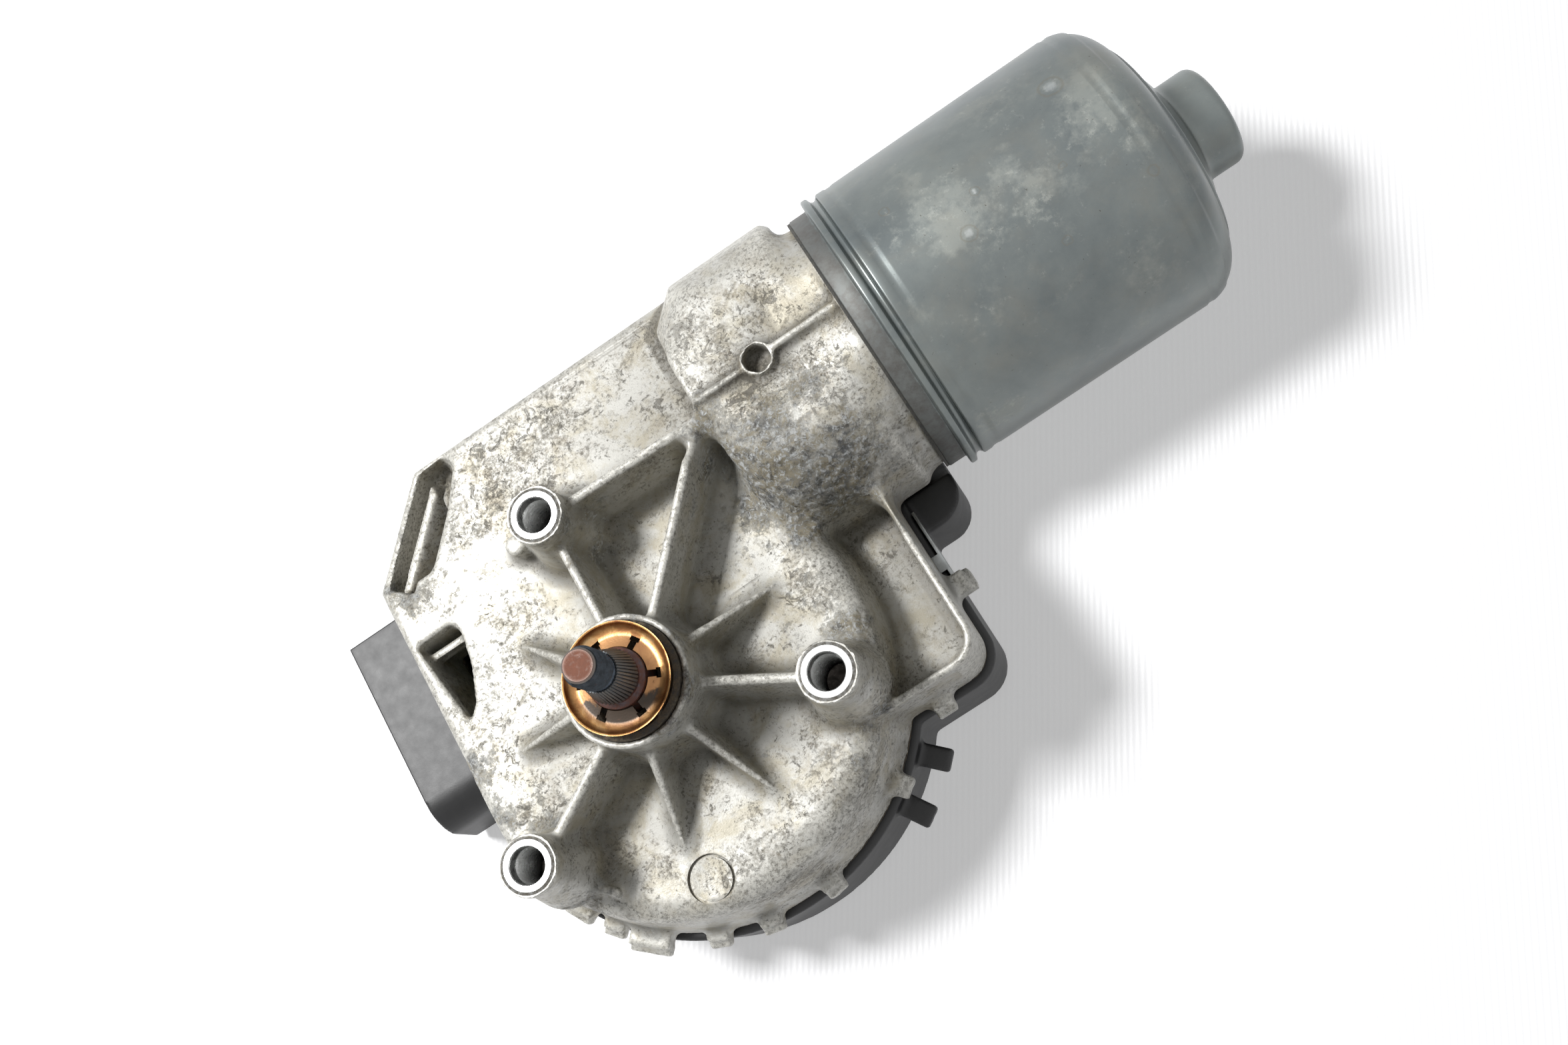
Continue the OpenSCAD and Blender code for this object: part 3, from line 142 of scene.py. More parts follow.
class Surface:  # a material in the making; its patterns lie in object space
    def __init__(self, name):
        self.material = bpy.data.materials.new(name)
        self.material.use_nodes = True
        self.tree = self.material.node_tree
        self.tree.nodes.clear()
        self.shader = addNode(self.tree, "ShaderNodeBsdfPrincipled")
        self.output = addNode(self.tree, "ShaderNodeOutputMaterial", links={"Surface": self.shader.outputs["BSDF"]})
        self.place = outputOf(self.tree, "ShaderNodeTexCoord", out="Object")

    def axes(self):
        parts = addNode(self.tree, "ShaderNodeSeparateXYZ", links={"Vector": self.place}).outputs
        return [Value(self.tree, parts[k]) for k in "XYZ"]

    def given(self, name):
        return outputOf(self.tree, "ShaderNodeAttribute", {"attribute_name": name}, out="Fac")

    def noise(self, size, detail, roughness=0.55, twist=0.0):
        return outputOf(self.tree, "ShaderNodeTexNoise", {
            "Scale": perMm(size), "Detail": detail, "Roughness": roughness, "Distortion": twist,
        }, {"Vector": self.place}, "Fac")

    def patches(self, size, detail, roughness, stops, twist=0.0):
        return ramp(self.noise(size, detail, roughness, twist), stops)

    def done(self, colour, metallic, roughness, height, strength, depth):
        for name, given in (("Base Color", colour), ("Metallic", metallic), ("Roughness", roughness)):
            feed(self.tree, given, self.shader.inputs[name])
        bump = addNode(self.tree, "ShaderNodeBump", {"Strength": strength, "Distance": depth * mm}, {"Height": height})
        feed(self.tree, bump.outputs["Normal"], self.shader.inputs["Normal"])
        return self.material


# Pressure die-cast aluminium, years outdoors: pale matt skin with cream clouds, fine dark specks in
# ragged groups, brown water lines, bright crests (partly wear, partly painted highlight), hollows darkened
# (partly dirt, partly painted shade), and grey-white salt corrosion where crust is set
castLook = {
    "pale": "#C4C3BD", "warm": "#B0AA99", "stain": "#827B6B", "brown": "#85735A", "dark": "#4E4A42",
    "shade": "#57534A", "worn": "#D6D4CC", "grit": "#3B3833", "salt": "#D8DBDC", "slate": "#4A4D51",
    "patchSize": 30, "stainSize": 5, "blotchSize": 2.6, "speckSize": 0.9, "saltSize": 1.2, "grainSize": 0.35,
    "saltBed": [(0.46, "#807E78"), (0.54, "#968D77"), (0.62, "#5E594D")],
}


def castAlloy():
    m, look = Surface("die_cast_aluminium"), castLook
    edge, hollow, crust, soil = (m.given(name) for name in ("edge", "hollow", "crust", "soil"))
    patches = m.patches(look["patchSize"], 4, 0.6, [(0.4, 0.0), (0.6, 1.0)], 0.8)
    soiled = (patches * 0.45 + soil * 0.75).held()

    def ragged(size, low, width, reach, twist=0.6):  # more of it where the casting is soiled
        return ramp(m.noise(size, 12, 0.74, twist) + soiled * reach, [(low, 0.0), (low + width, 1.0)])

    colour = blend(m.patches(9, 9, 0.7, [(0.46, 0.0), (0.6, 1.0)], 0.4), look["pale"], look["warm"])
    specks = ragged(look["speckSize"], 0.6, 0.08, 0.1)
    colour = blend(specks * 0.4, colour, look["stain"])
    stains = ragged(look["stainSize"], 0.58, 0.12, 0.2) * m.patches(0.8, 8, 0.75, [(0.42, 0.15), (0.58, 1.0)])
    colour = blend(stains * 0.75, colour, look["stain"])
    grains = m.patches(0.75, 5, 0.72, [(0.535, 0.0), (0.575, 1.0)])
    colour = blend(ragged(6.5, 0.5, 0.14, 0.17, 0.3) * grains * 0.78, colour, look["dark"])
    waterLine = m.patches(8, 8, 0.68, [(0.5, 0.0), (0.525, 1.0), (0.56, 0.0)], 1.1)
    colour = blend(waterLine * (soiled * 0.4), colour, look["brown"])
    blotches = ragged(look["blotchSize"], 0.655, 0.05, 0.155, 0.9)
    colour = blend(blotches * 0.8, colour, look["dark"])
    pits = m.patches(0.7, 5, 0.7, [(0.67, 0.0), (0.7, 1.0)])
    colour = blend(pits * 0.75, colour, look["grit"])
    # painted shade: the hollows darkened towards the shade colour, partly dirt
    dirtAndShade = (hollow * (specks * 0.5 + 0.55)).held()
    colour = blend(dirtAndShade, colour, look["shade"])
    # convex crests lightened: partly wear, partly painted highlight
    colour = blend((edge * (0.9 - grains * 0.6)).held(), colour, look["worn"])
    chipped = m.patches(0.9, 9, 0.8, [(0.48, 0.0), (0.58, 1.0)])
    colour = blend((edge * 1.3).held() * (chipped * 0.5), colour, look["shade"])
    saltBed = m.patches(7, 9, 0.74, [(0.38, look["slate"])] + look["saltBed"], 0.8)
    saltTop = m.patches(look["saltSize"], 12, 0.8, [(0.49, 0.0), (0.56, 1.0)], 0.5)
    saltGrit = m.patches(2.4, 12, 0.82, [(0.53, 0.0), (0.57, 1.0)], 0.6)
    salt = blend(saltGrit * 0.85, blend(saltTop * 0.85, saltBed, look["salt"]), look["grit"])
    crusted = ramp(crust + (m.noise(4, 12, 0.8) - 0.5) * 3.2, [(0.25, 0.0), (0.75, 1.0)])
    colour = blend(crusted * 0.9, colour, salt)
    dull = stains | dirtAndShade | crusted
    rough = crusted * ((m.noise(1.0, 10, 0.78) + saltTop) * 0.5)
    height = m.noise(look["grainSize"], 4, 0.65) * 0.22 + blotches * -0.25 + rough
    return m.done(colour, 0.3 - dull * 0.27, dull * 0.3 + 0.42, height, 0.5, 0.3)


# Faced and tapped with a cutter: bright turned aluminium, its bevel as cast, painted shade darkening down the bore
turnedLook = {"bright": "#C4C5C4", "worn": "#8C8B86", "bevel": "#5E5A52", "boreShade": "#2B2723", "boreShadeTop": -6.5}


def machinedAlloy():
    m, look = Surface("machined_aluminium"), turnedLook
    worn = m.patches(1.6, 7, 0.65, [(0.45, 0.0), (0.62, 1.0)])
    colour = blend(worn * 0.5, look["bright"], look["worn"])
    speckled = m.patches(0.8, 8, 0.75, [(0.4, 0.55), (0.58, 1.0)])
    colour = blend(m.given("bevel") * speckled, colour, look["bevel"])
    # painted shade: darker further down the bore
    boreShade = ((look["boreShadeTop"] * mm - m.axes()[2]) * 110).held()
    colour = blend(boreShade, colour, look["boreShade"])
    return m.done(colour, 0.8, worn * 0.2 + 0.26, m.noise(0.25, 3), 0.2, 0.08)


# Drawn steel sheet, zinc plated and passivated: grey-green satin sheen, dull chalky patches, water rings, pits
canLook = {
    "base": "#848A88", "deep": "#6B7273", "chalk": "#A8A9A0", "mark": "#77746A", "pit": "#45423C", "warm": "#8A867B",
    "fleck": "#B9BBB4", "dried": "#C6CACB", "mouth": "#5C5A57", "mouthEnd": 79.3,
}


def drawnSteel():
    m, look = Surface("zinc_plated_steel"), canLook
    chalky, ringed = m.given("chalk"), m.given("ring")
    colour = blend(m.patches(36, 7, 0.66, [(0.36, 0.0), (0.66, 1.0)], 0.2), look["base"], look["deep"])
    warmth = m.patches(17, 9, 0.72, [(0.48, 0.0), (0.72, 1.0)], 0.2)
    colour = blend(warmth * 0.35, colour, look["warm"])
    grainy = m.noise(2.6, 12, 0.8)
    film = m.noise(12, 10, 0.72) * 0.75 + grainy * 0.25
    film = ramp(film + chalky * 0.16, [(0.56, 0.0), (0.66, 1.0)])
    colour = blend(film * 0.27, colour, look["chalk"])
    flecks = ramp(grainy + chalky * 0.08, [(0.6, 0.0), (0.68, 1.0)])
    colour = blend(flecks * 0.28, colour, look["fleck"])
    wavy = ringed + (m.noise(3, 8, 0.7) - 0.5) * 0.5
    colour = blend(ramp(wavy, [(0.38, 0.0), (0.5, 1.0), (0.62, 0.0)]) * 0.55, colour, look["mark"])
    colour = blend(ramp(wavy, [(0.75, 0.0), (0.95, 1.0)]) * (grainy * 0.8), colour, look["dried"])
    pits = ramp(m.noise(1.0, 6, 0.7) + chalky * 0.03, [(0.67, 0.0), (0.71, 1.0)])
    colour = blend(pits * 0.75, colour, look["pit"])
    along = m.axes()[0] + (m.noise(3, 8, 0.7) - 0.5) * (2 * mm)
    mouth = ((look["mouthEnd"] * mm - along) * 1800).held()
    colour = blend(mouth * m.patches(2.4, 10, 0.75, [(0.42, 0.55), (0.62, 0.95)]), colour, look["mouth"])
    dull = film * 0.14 + mouth * 0.22
    return m.done(colour, 0.55, dull + 0.34, m.noise(0.5, 4) * 0.3 - pits, 0.2, 0.12)


# Hardened steel shaft: oil-blackened blue-grey, worn grey on the serrations, orange rust on the tip
shaftLook = {
    "black": "#262B32", "blue": "#4E5761", "bare": "#8A9094", "tipSteel": "#77716A", "rust": "#84492D",
    "old": "#5C392A", "tip": 24.0, "tipRust": 3.3, "collarTop": 7.2,
}


def shaftSteel():
    m, look = Surface("blackened_shaft_steel"), shaftLook
    x, y, high = m.axes()
    across = xyz(m.tree, X=x, Y=y)
    reach = outputOf(m.tree, "ShaderNodeVectorMath", {"operation": "LENGTH"}, {"Vector": across}, "Value")
    colour = blend(m.patches(1.6, 8, 0.7, [(0.4, 0.0), (0.62, 1.0)]), look["black"], look["blue"])
    worn = m.given("worn")
    colour = blend(worn * 0.9, colour, look["bare"])
    onTip = ((high - look["tip"] * mm) * 4000).held()
    middle = ((look["tipRust"] * mm - reach) * 1100).held()
    tipRust = onTip * middle * m.patches(2.4, 8, 0.7, [(0.3, 0.45), (0.46, 1.0)], 0.4)
    colour = blend(onTip * 0.75, colour, look["tipSteel"])
    low = ((look["collarTop"] * mm - high) * 2000).held()
    collarRust = low * m.patches(1.8, 8, 0.7, [(0.38, 0.2), (0.6, 1.0)])
    thinRust = m.patches(1.2, 8, 0.72, [(0.58, 0.0), (0.68, 1.0)]) * 0.5 * (1.0 - worn)
    rust = tipRust | (collarRust * 0.75 | thinRust)
    colour = blend(rust, colour, blend(m.noise(1.3, 6, 0.7), look["rust"], look["old"]))
    metallic = (0.8 - (rust * 0.7 + worn * 0.35)).held()
    return m.done(colour, metallic, rust * 0.35 + 0.32, m.noise(0.4, 5, 0.7), 0.35, 0.12)


# Pressed phosphor bronze, heat-tinted: gold on the lit flange, tan fingers, painted shadow darkening them on one side
washerLook = {
    "tints": [(0.32, "#74492C"), (0.45, "#9C6F45"), (0.58, "#BC8E5A"), (0.7, "#D2AC7C")],
    "finger": "#9C7452", "fingerShadow": "#3A2D20", "spot": "#5B3F2A",
}


def bronzeWasher():
    m, look = Surface("phosphor_bronze"), washerLook
    x, y = m.axes()[:2]
    tint, inner = m.noise(5, 6, 0.65, 0.8), m.given("inner")
    colour = blend(inner * 0.6, ramp(tint, look["tints"]), look["finger"])
    # painted shadow: the fingers darker towards one side, where the shaft's shadow falls
    old = ramp(tint * 1.1 - (x * 45 + y * 95), [(0.86, 0.0), (1.0, 1.0)])
    fingerShadow = inner * (old * 0.9)
    colour = blend(fingerShadow, colour, look["fingerShadow"])
    spots = m.patches(0.8, 8, 0.72, [(0.6, 0.0), (0.68, 1.0)])
    colour = blend(spots * 0.6, colour, look["spot"])
    return m.done(colour, 0.9 - fingerShadow * 0.6, spots * 0.25 + 0.35, m.noise(0.35, 4), 0.25, 0.08)


# Families of finishes that share one build: base, second tone, size of the mottle, metallic, roughness, bump
finishes = {
    "cover_plastic": ("glass_filled_nylon", "#0D0D0E", "#161617", 3.0, 0.0, 0.45, 0.12),
    "connector_plastic": ("moulded_pbt", "#2A2B2C", "#303132", 6.0, 0.0, 0.52, 0.06),
    "black_plastic": ("black_abs", "#17181A", "#26272A", 2.5, 0.0, 0.4, 0.1),
    "seal_rubber": ("nitrile_rubber", "#241F19", "#6E6352", 1.1, 0.0, 0.72, 0.5),
    "gasket": ("fibre_gasket", "#3A3A38", "#52504A", 1.2, 0.0, 0.75, 0.2),
    "sintered_bronze": ("sintered_bronze", "#8C6A3E", "#A98552", 0.6, 0.8, 0.5, 0.35),
    "plain_steel": ("rolled_steel", "#A5A8A8", "#8A8C8B", 4.0, 0.95, 0.34, 0.08),
    "bearing_steel": ("ground_bearing_steel", "#C3C6C8", "#AEB2B5", 6.0, 1.0, 0.16, 0.03),
    "gear_plastic": ("acetal_resin", "#E6E0CD", "#D8D0B8", 8.0, 0.0, 0.38, 0.05),
    "magnet": ("sintered_ferrite", "#33353A", "#44464B", 1.2, 0.2, 0.55, 0.2),
    "lamination": ("electrical_steel", "#6E7274", "#55585A", 0.6, 0.85, 0.42, 0.25),
    "copper_wire": ("enamelled_copper", "#A5512B", "#C4703D", 0.9, 0.75, 0.32, 0.5),
    "copper_bars": ("turned_copper", "#B9714A", "#8D5132", 3.0, 1.0, 0.28, 0.06),
    "card_plastic": ("phenolic_laminate", "#5A3B22", "#70492A", 1.4, 0.0, 0.5, 0.1),
    "carbon": ("pressed_carbon", "#25262A", "#35363A", 0.5, 0.2, 0.6, 0.3),
    "board": ("soldermask_laminate", "#1E5A38", "#17472D", 2.0, 0.0, 0.35, 0.1),
    "can_film": ("printed_film", "#1F2B4A", "#27365C", 5.0, 0.0, 0.35, 0.03),
    "tinned_brass": ("tinned_brass", "#C4C3BC", "#AFAEA6", 2.5, 1.0, 0.25, 0.05),
}


def plainFinish(slotName):
    name, base, second, size, metallic, roughness, bump = finishes[slotName]
    m = Surface(name)
    mottle = m.noise(size, 6, 0.6)
    colour = blend(ramp(mottle, [(0.4, 0.0), (0.62, 1.0)]), base, second)
    fine = m.noise(max(size * 0.12, 0.15), 4, 0.6)
    return m.done(colour, metallic, mottle * 0.14 + (roughness - 0.07), fine, bump, 0.15)


materials = {name: plainFinish(name) for name in finishes}
materials.update(
    cast_alloy=castAlloy(), machined=machinedAlloy(), can_steel=drawnSteel(), shaft_steel=shaftSteel(),
    bronze_washer=bronzeWasher(),
)
print("materials made:", len(materials))


def linked(name, mesh):
    piece = bpy.data.objects.new(name, mesh)
    bpy.context.scene.collection.objects.link(piece)
    return piece


def applied(piece):  # the evaluated mesh takes the place of the mesh and its modifiers
    graph = bpy.context.evaluated_depsgraph_get()
    mesh = bpy.data.meshes.new_from_object(piece.evaluated_get(graph))
    piece.modifiers.clear()
    piece.data = mesh
    return piece


def meshFrom(work, name):
    mesh = bpy.data.meshes.new(name)
    work.to_mesh(mesh)
    work.free()
    return mesh


def joinedParts(parts, name):
    work = bmesh.new()
    for piece in parts:
        work.from_mesh(piece.data)
        bpy.data.objects.remove(piece)
    return linked(name, meshFrom(work, name))


def mergedCopy(nodeName, name):
    work = bmesh.new()
    work.from_mesh(cadNodes[nodeName].data)
    bmesh.ops.remove_doubles(work, verts=work.verts, dist=5e-7)
    mesh = meshFrom(work, name)
    for spare in ("custom_normal", "sharp_face"):
        if spare in mesh.attributes:
            mesh.attributes.remove(mesh.attributes[spare])
    return linked(name, mesh)


def softShade(piece, degrees=35):
    piece.data.shade_smooth()
    piece.data.set_sharp_from_angle(angle=math.radians(degrees))


def finish(piece, body, material, stands=()):
    piece.data.materials.clear()
    piece.data.materials.append(material)
    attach(piece, body)
    if stands:
        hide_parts(*stands)
    return piece


def lathe(name, profile, steps, axis="Z", at=(0, 0, 0)):
    # profile holds (radius, height) in mm, from the inside round to the inside again
    rows, verts = len(profile), []
    for k in range(steps):
        a = 2 * math.pi * k / steps
        for r, h in profile:
            p = (r * math.cos(a), r * math.sin(a), h)
            if axis == "X":
                p = (p[2], p[0], p[1])
            verts.append([(c + shift) * mm for c, shift in zip(p, at)])
    faces = [(k * rows + i, n * rows + i, n * rows + i + 1, k * rows + i + 1)
             for k in range(steps) for n in [(k + 1) % steps] for i in range(rows - 1)]
    rough = bpy.data.meshes.new(name)
    rough.from_pydata(verts, [], faces)
    work = bmesh.new()
    work.from_mesh(rough)
    bpy.data.meshes.remove(rough)
    bmesh.ops.remove_doubles(work, verts=work.verts, dist=1e-6)
    bmesh.ops.recalc_face_normals(work, faces=work.faces)
    return linked(name, meshFrom(work, name))


def drill(radius, low, high, x, y, steps=64):
    work = bmesh.new()
    middle = Matrix.Translation((x * mm, y * mm, (low + high) / 2 * mm))
    bmesh.ops.create_cone(work, cap_ends=True, segments=steps, radius1=radius * mm, radius2=radius * mm,
                          depth=(high - low) * mm, matrix=middle)
    return linked("drill", meshFrom(work, "drill"))


def ringCutter(x, y, radius, width, low, high):
    inner, outer = radius - width, radius + width
    return lathe("groove", [(inner, low), (outer, low), (outer, high), (inner, high), (inner, low)], 64, at=(x, y, 0))


def hull(name, corners):
    work = bmesh.new()
    for corner in corners:
        work.verts.new([c * mm for c in corner])
    bmesh.ops.convex_hull(work, input=work.verts)
    bmesh.ops.recalc_face_normals(work, faces=work.faces)
    return linked(name, meshFrom(work, name))


def box(name, sizes):
    return hull(name, [(x, y, z) for x in sizes["x"] for y in sizes["y"] for z in sizes["z"]])


def cutBy(piece, tools, operation="DIFFERENCE"):
    for tool in tools:
        cut = piece.modifiers.new("cut", "BOOLEAN")
        cut.object, cut.operation, cut.solver = tool, operation, "MANIFOLD"
    applied(piece)
    for tool in tools:
        bpy.data.objects.remove(tool)


def reskinned(piece, voxel, passes, factor):  # an even skin, relaxed to give the fillets of a casting or a moulding
    skin = piece.modifiers.new("skin", "REMESH")
    skin.mode, skin.voxel_size = "VOXEL", voxel * mm
    smooth = piece.modifiers.new("relax", "SMOOTH")
    smooth.iterations, smooth.factor = passes, factor
    applied(piece)


def thinned(piece, triangles):
    count = sum(len(p.vertices) - 2 for p in piece.data.polygons)
    if count > triangles:
        thin = piece.modifiers.new("thin", "DECIMATE")
        thin.ratio = triangles / count
        applied(piece)


def edgeEnds(mesh):
    ends = np.empty(len(mesh.edges) * 2, int)
    mesh.edges.foreach_get("vertices", ends)
    return ends.reshape(-1, 2).T


def points(mesh, what="co"):
    values = np.empty(len(mesh.vertices) * 3)
    mesh.vertices.foreach_get(what, values)
    return values.reshape(-1, 3)


def setPoints(mesh, co):
    mesh.vertices.foreach_set("co", co.ravel())
    mesh.update()


def paint(mesh, name, values):
    layer = mesh.attributes.get(name) or mesh.attributes.new(name, "FLOAT", "POINT")
    layer.data.foreach_set("value", np.clip(values, 0, 1.2).astype(np.float32))


def nearLine(places, a, b):
    a, b = np.array(a, float), np.array(b, float)
    share = np.clip(((places - a) @ (b - a)) / max(((b - a) ** 2).sum(), 1e-9), 0, 1)
    return np.linalg.norm(places - a - share[:, None] * (b - a), axis=1)


def blobs(spots, co):
    field = np.zeros(len(co))
    for x, y, z, reach, strength in spots:
        d = np.linalg.norm(co / mm - (x, y, z), axis=1) / reach
        field = np.maximum(field, strength * np.exp(-d * d * 1.2))
    return field


def meanOfNear(field, a, b):  # each point's neighbours, averaged along the edges that join them
    count = len(field)
    degree = np.maximum(np.bincount(a, minlength=count) + np.bincount(b, minlength=count), 1)[:, None]
    total = [np.bincount(a, field[b, k], count) + np.bincount(b, field[a, k], count) for k in range(3)]
    return np.stack(total, axis=1) / degree


def smoothed(mesh, co, weight, passes):  # changes co; the weight says how far each point follows its neighbours
    a, b = edgeEnds(mesh)
    near = (weight[a] > 0) | (weight[b] > 0)
    a, b = a[near], b[near]
    busy = np.unique(np.concatenate([a, b]))
    index = np.full(len(co), -1)
    index[busy] = np.arange(len(busy))
    a, b = index[a], index[b]
    moving, pull = co[busy], weight[busy][:, None]
    for _ in range(passes):
        moving += (meanOfNear(moving, a, b) - moving) * pull
    co[busy] = moving


def markCorners(piece, passes=24, span=0.55):
    # how far each point stands out of, or lies below, the same surface smoothed
    mesh = piece.data
    co = points(mesh)
    ends, soft = edgeEnds(mesh), co
    for _ in range(passes):
        soft = meanOfNear(soft, *ends)
    out = ((co - soft) * points(mesh, "normal")).sum(1) / (span * mm)
    paint(mesh, "edge", out)
    paint(mesh, "hollow", -out)
    return co, out


# The casting: the CAD solid remeshed fine and relaxed, which gives it the fillets of a casting
castShape = {
    "voxel": 0.6, "relax": 4, "relaxFactor": 0.5, "triangles": 185000,
    "boreRadius": 4.1, "boreDepth": 17.5, "faceRadius": 7.2, "faceDrop": 0.2,
    "softPasses": 220, "filletPasses": 30, "saltLift": 0.3,
    "markPlace": (-9.5, -38.0), "markRadius": 4.7, "markWidth": 0.3, "markDepth": 0.35, "webTop": -20.0,
}
bossPlaces = [(40 * math.cos(math.radians(a)), 40 * math.sin(math.radians(a))) for a in (90, -30, 210)]
# The corner recess opens wider at the web than its foot; along and across the sloping corner, mm
recessShape = {
    "start": (-44.6, 54.0), "along": (0.6910, 0.7229), "top": -18.5, "low": -27.0,
    "topPlan": [(0.6, -3.9), (2.6, -2.4), (17.4, -2.4), (27.6, -2.4), (33.4, -7.4), (31.6, -10.6), (20.3, -12.3),
                (7.7, -12.5), (4.3, -8.8)],
    "lowPlan": [(2.4, -2.6), (29.0, -2.6), (31.8, -5.2), (30.2, -7.6), (21.3, -8.4), (8.7, -8.4), (4.6, -6.4)],
}
# At the can's mouth: the crest rib carried on, the flange's top taken off, a slope up to what stays
crestRib = {"x": (58.5, 74.3), "y": (42.4, 43.9), "z": (-9.0, -3.8)}
flangeTop = {"x": (69.6, 74.35), "y": (14.0, 73.0), "z": (-5.1, 6.0)}
flangeRamp = [(60, 26, -6.05), (60, 62, -6.05), (70.8, 31.5, -5.1), (70.8, 54.5, -5.1)]
flangeRamp += [(x, y, -9) for x, y, _ in flangeRamp]
crustSpots = [  # where salt water has eaten the skin: x, y, z, reach in mm, strength
    (46, 22, -12, 12, 1.2), (54, 16, -16, 11, 1.2), (41, 29, -12, 9, 1.1), (60, 20, -12, 9, 0.9),
    (38.5, 40, -8, 5, 0.9), (50, 30, -8, 8, 0.8), (60, 34, -6, 7, 0.5), (44, 14, -20, 6, 1.1),
    (37, 22, -19, 5, 1.0), (40, -12, -14, 5, 0.7), (41, -10, -20, 6, 0.8), (36, -28, -19, 6, 0.55),
    (30, -34, -20, 8, 0.45), (-30, -14, -17, 6, 0.7), (-34, -14, -20, 7, 0.6), (-36, -30, -20, 7, 0.5),
    (3, 33, -17, 5, 0.7), (1, 30, -8, 4, 0.6), (8, 38, -12, 5, 0.5), (-43, 8, -22, 5, 0.7), (-41, -4, -22, 5, 0.6),
    (13, 5, -10, 5, 0.45), (12, -6, -14, 5, 0.45), (22, 18, -10, 4, 0.3), (9, 9, -1, 4, 0.7), (12.5, 2, -1, 4, 0.7),
    (10, -7, -1, 4, 0.8), (3, -12.5, -1, 4, 0.7), (-2, 12.5, -1, 3, 0.5), (-38, 50, -21, 5, 0.7),
    (-44, 54, -21, 4, 0.7), (-36, 64, -21, 3, 0.6), (-28, 73, -21, 3, 0.6), (-10, 75, -21, 3, 0.6),
    (8, 75, -21, 3, 0.6), (26, 75, -18, 3, 0.6), (4, 36, -3, 4, 0.7), (6, 44, -3, 3, 0.6), (36, -14, -3, 4, 0.6),
    (34, 32, -14, 4, 0.8), (33, 40, -19, 4, 0.6),
]
soilSpots = [  # browner, blotched parts of the skin
    (-25, 62, -20, 16, 1.0), (-5, 60, -20, 14, 0.9), (15, 66, -20, 14, 0.9), (-38, 55, -22, 12, 0.8),
    (30, 60, -18, 14, 0.7), (-34, -12, -20, 12, 0.6), (-30, -34, -20, 14, 0.6), (24, -40, -20, 18, 1.0),
    (38, -26, -20, 14, 0.9), (4, -46, -24, 14, 0.8), (50, 48, -6, 14, 0.5), (60, 60, -12, 12, 0.5),
    (44, 62, -12, 10, 0.5), (-44, 20, -24, 12, 0.7), (12, -44, -20, 12, 0.6), (42, 0, -20, 10, 0.6),
    (-20, 30, -20, 10, 0.25), (50, 36, -6, 12, 0.9), (62, 30, -8, 12, 0.9), (46, 56, -8, 12, 0.8),
    (64, 56, -8, 8, 0.5), (40, -20, -6, 9, 0.7), (0, 40, -6, 8, 0.5), (-34, -20, -6, 8, 0.5), (15, 40, -4, 5, 0.9),
    (25, 40, -4, 5, 0.9), (20, 22, -5, 5, 0.8), (28, 30, -5, 5, 0.8), (0, 22, -5, 5, 0.8), (20, -12, -5, 6, 0.8),
]
flatEdges = [  # lines of the solid that the casting has as broad soft curves: ends in mm, reach, strength
    ((40, 22.5, -6), (71, 22.5, -6), 9, 1.0), ((40, 22.5, -6), (39, 36, -6), 6, 0.9),
    ((40, 63.5, -6), (71, 63.5, -6), 6, 0.5), ((38, 26, -14), (46, 14, -20), 7, 0.8),
    ((46, 14, -20), (60, 8, -22), 6, 0.8), ((6, -41, -19.6), (22, -41, -19.6), 3, 0.6),
    ((71, 28, -6), (71, 37, -6), 2.6, 0.8), ((71, 49, -6), (71, 58, -6), 2.6, 0.8),
]
keptEdges = [((37, 42.9, -5), (76, 43.1, -5), 3.2), ((54, 42.6, -5), (55, 42.6, -5), 6.5)]


def soften(piece):  # heavy local smoothing where the die had a large radius
    mesh = piece.data
    co = points(mesh)
    place = co / mm
    weight, kept = np.zeros(len(co)), np.ones(len(co))
    for a, b, reach, strength in flatEdges:
        weight = np.maximum(weight, strength * np.clip(1.4 - nearLine(place, a, b) / reach, 0, 1))
    for a, b, reach in keptEdges:
        kept *= np.clip(nearLine(place, a, b) / reach - 0.7, 0, 1)
    smoothed(mesh, co, weight * kept * 0.5, castShape["softPasses"])
    setPoints(mesh, co)
    hollow = -markCorners(piece, 10)[1]
    smoothed(mesh, co, np.clip(hollow * 3.5, 0, 0.5) * kept, castShape["filletPasses"])
    setPoints(mesh, co)


def corrode(piece):  # salt blooms stand a little proud and pitted
    mesh = piece.data
    co, normals = points(mesh), points(mesh, "normal")
    crust = blobs(crustSpots, co)
    for i in np.nonzero(crust > 0.3)[0]:
        spot = Vector(co[i] / mm)
        lump = mathNoise.noise(spot * 0.55) + 0.6 * mathNoise.noise(spot * 1.3)
        co[i] += normals[i] * lump * castShape["saltLift"] * min(crust[i], 1) * mm
    setPoints(mesh, co)


def recessCutter():
    s = recessShape
    (x0, y0), (ux, uy) = s["start"], s["along"]
    levels = ((s["topPlan"], s["top"]), (s["lowPlan"], s["low"]))
    return hull("recess", [(x0 + ux * a - uy * b, y0 + uy * a + ux * b, z) for plan, z in levels for a, b in plan])


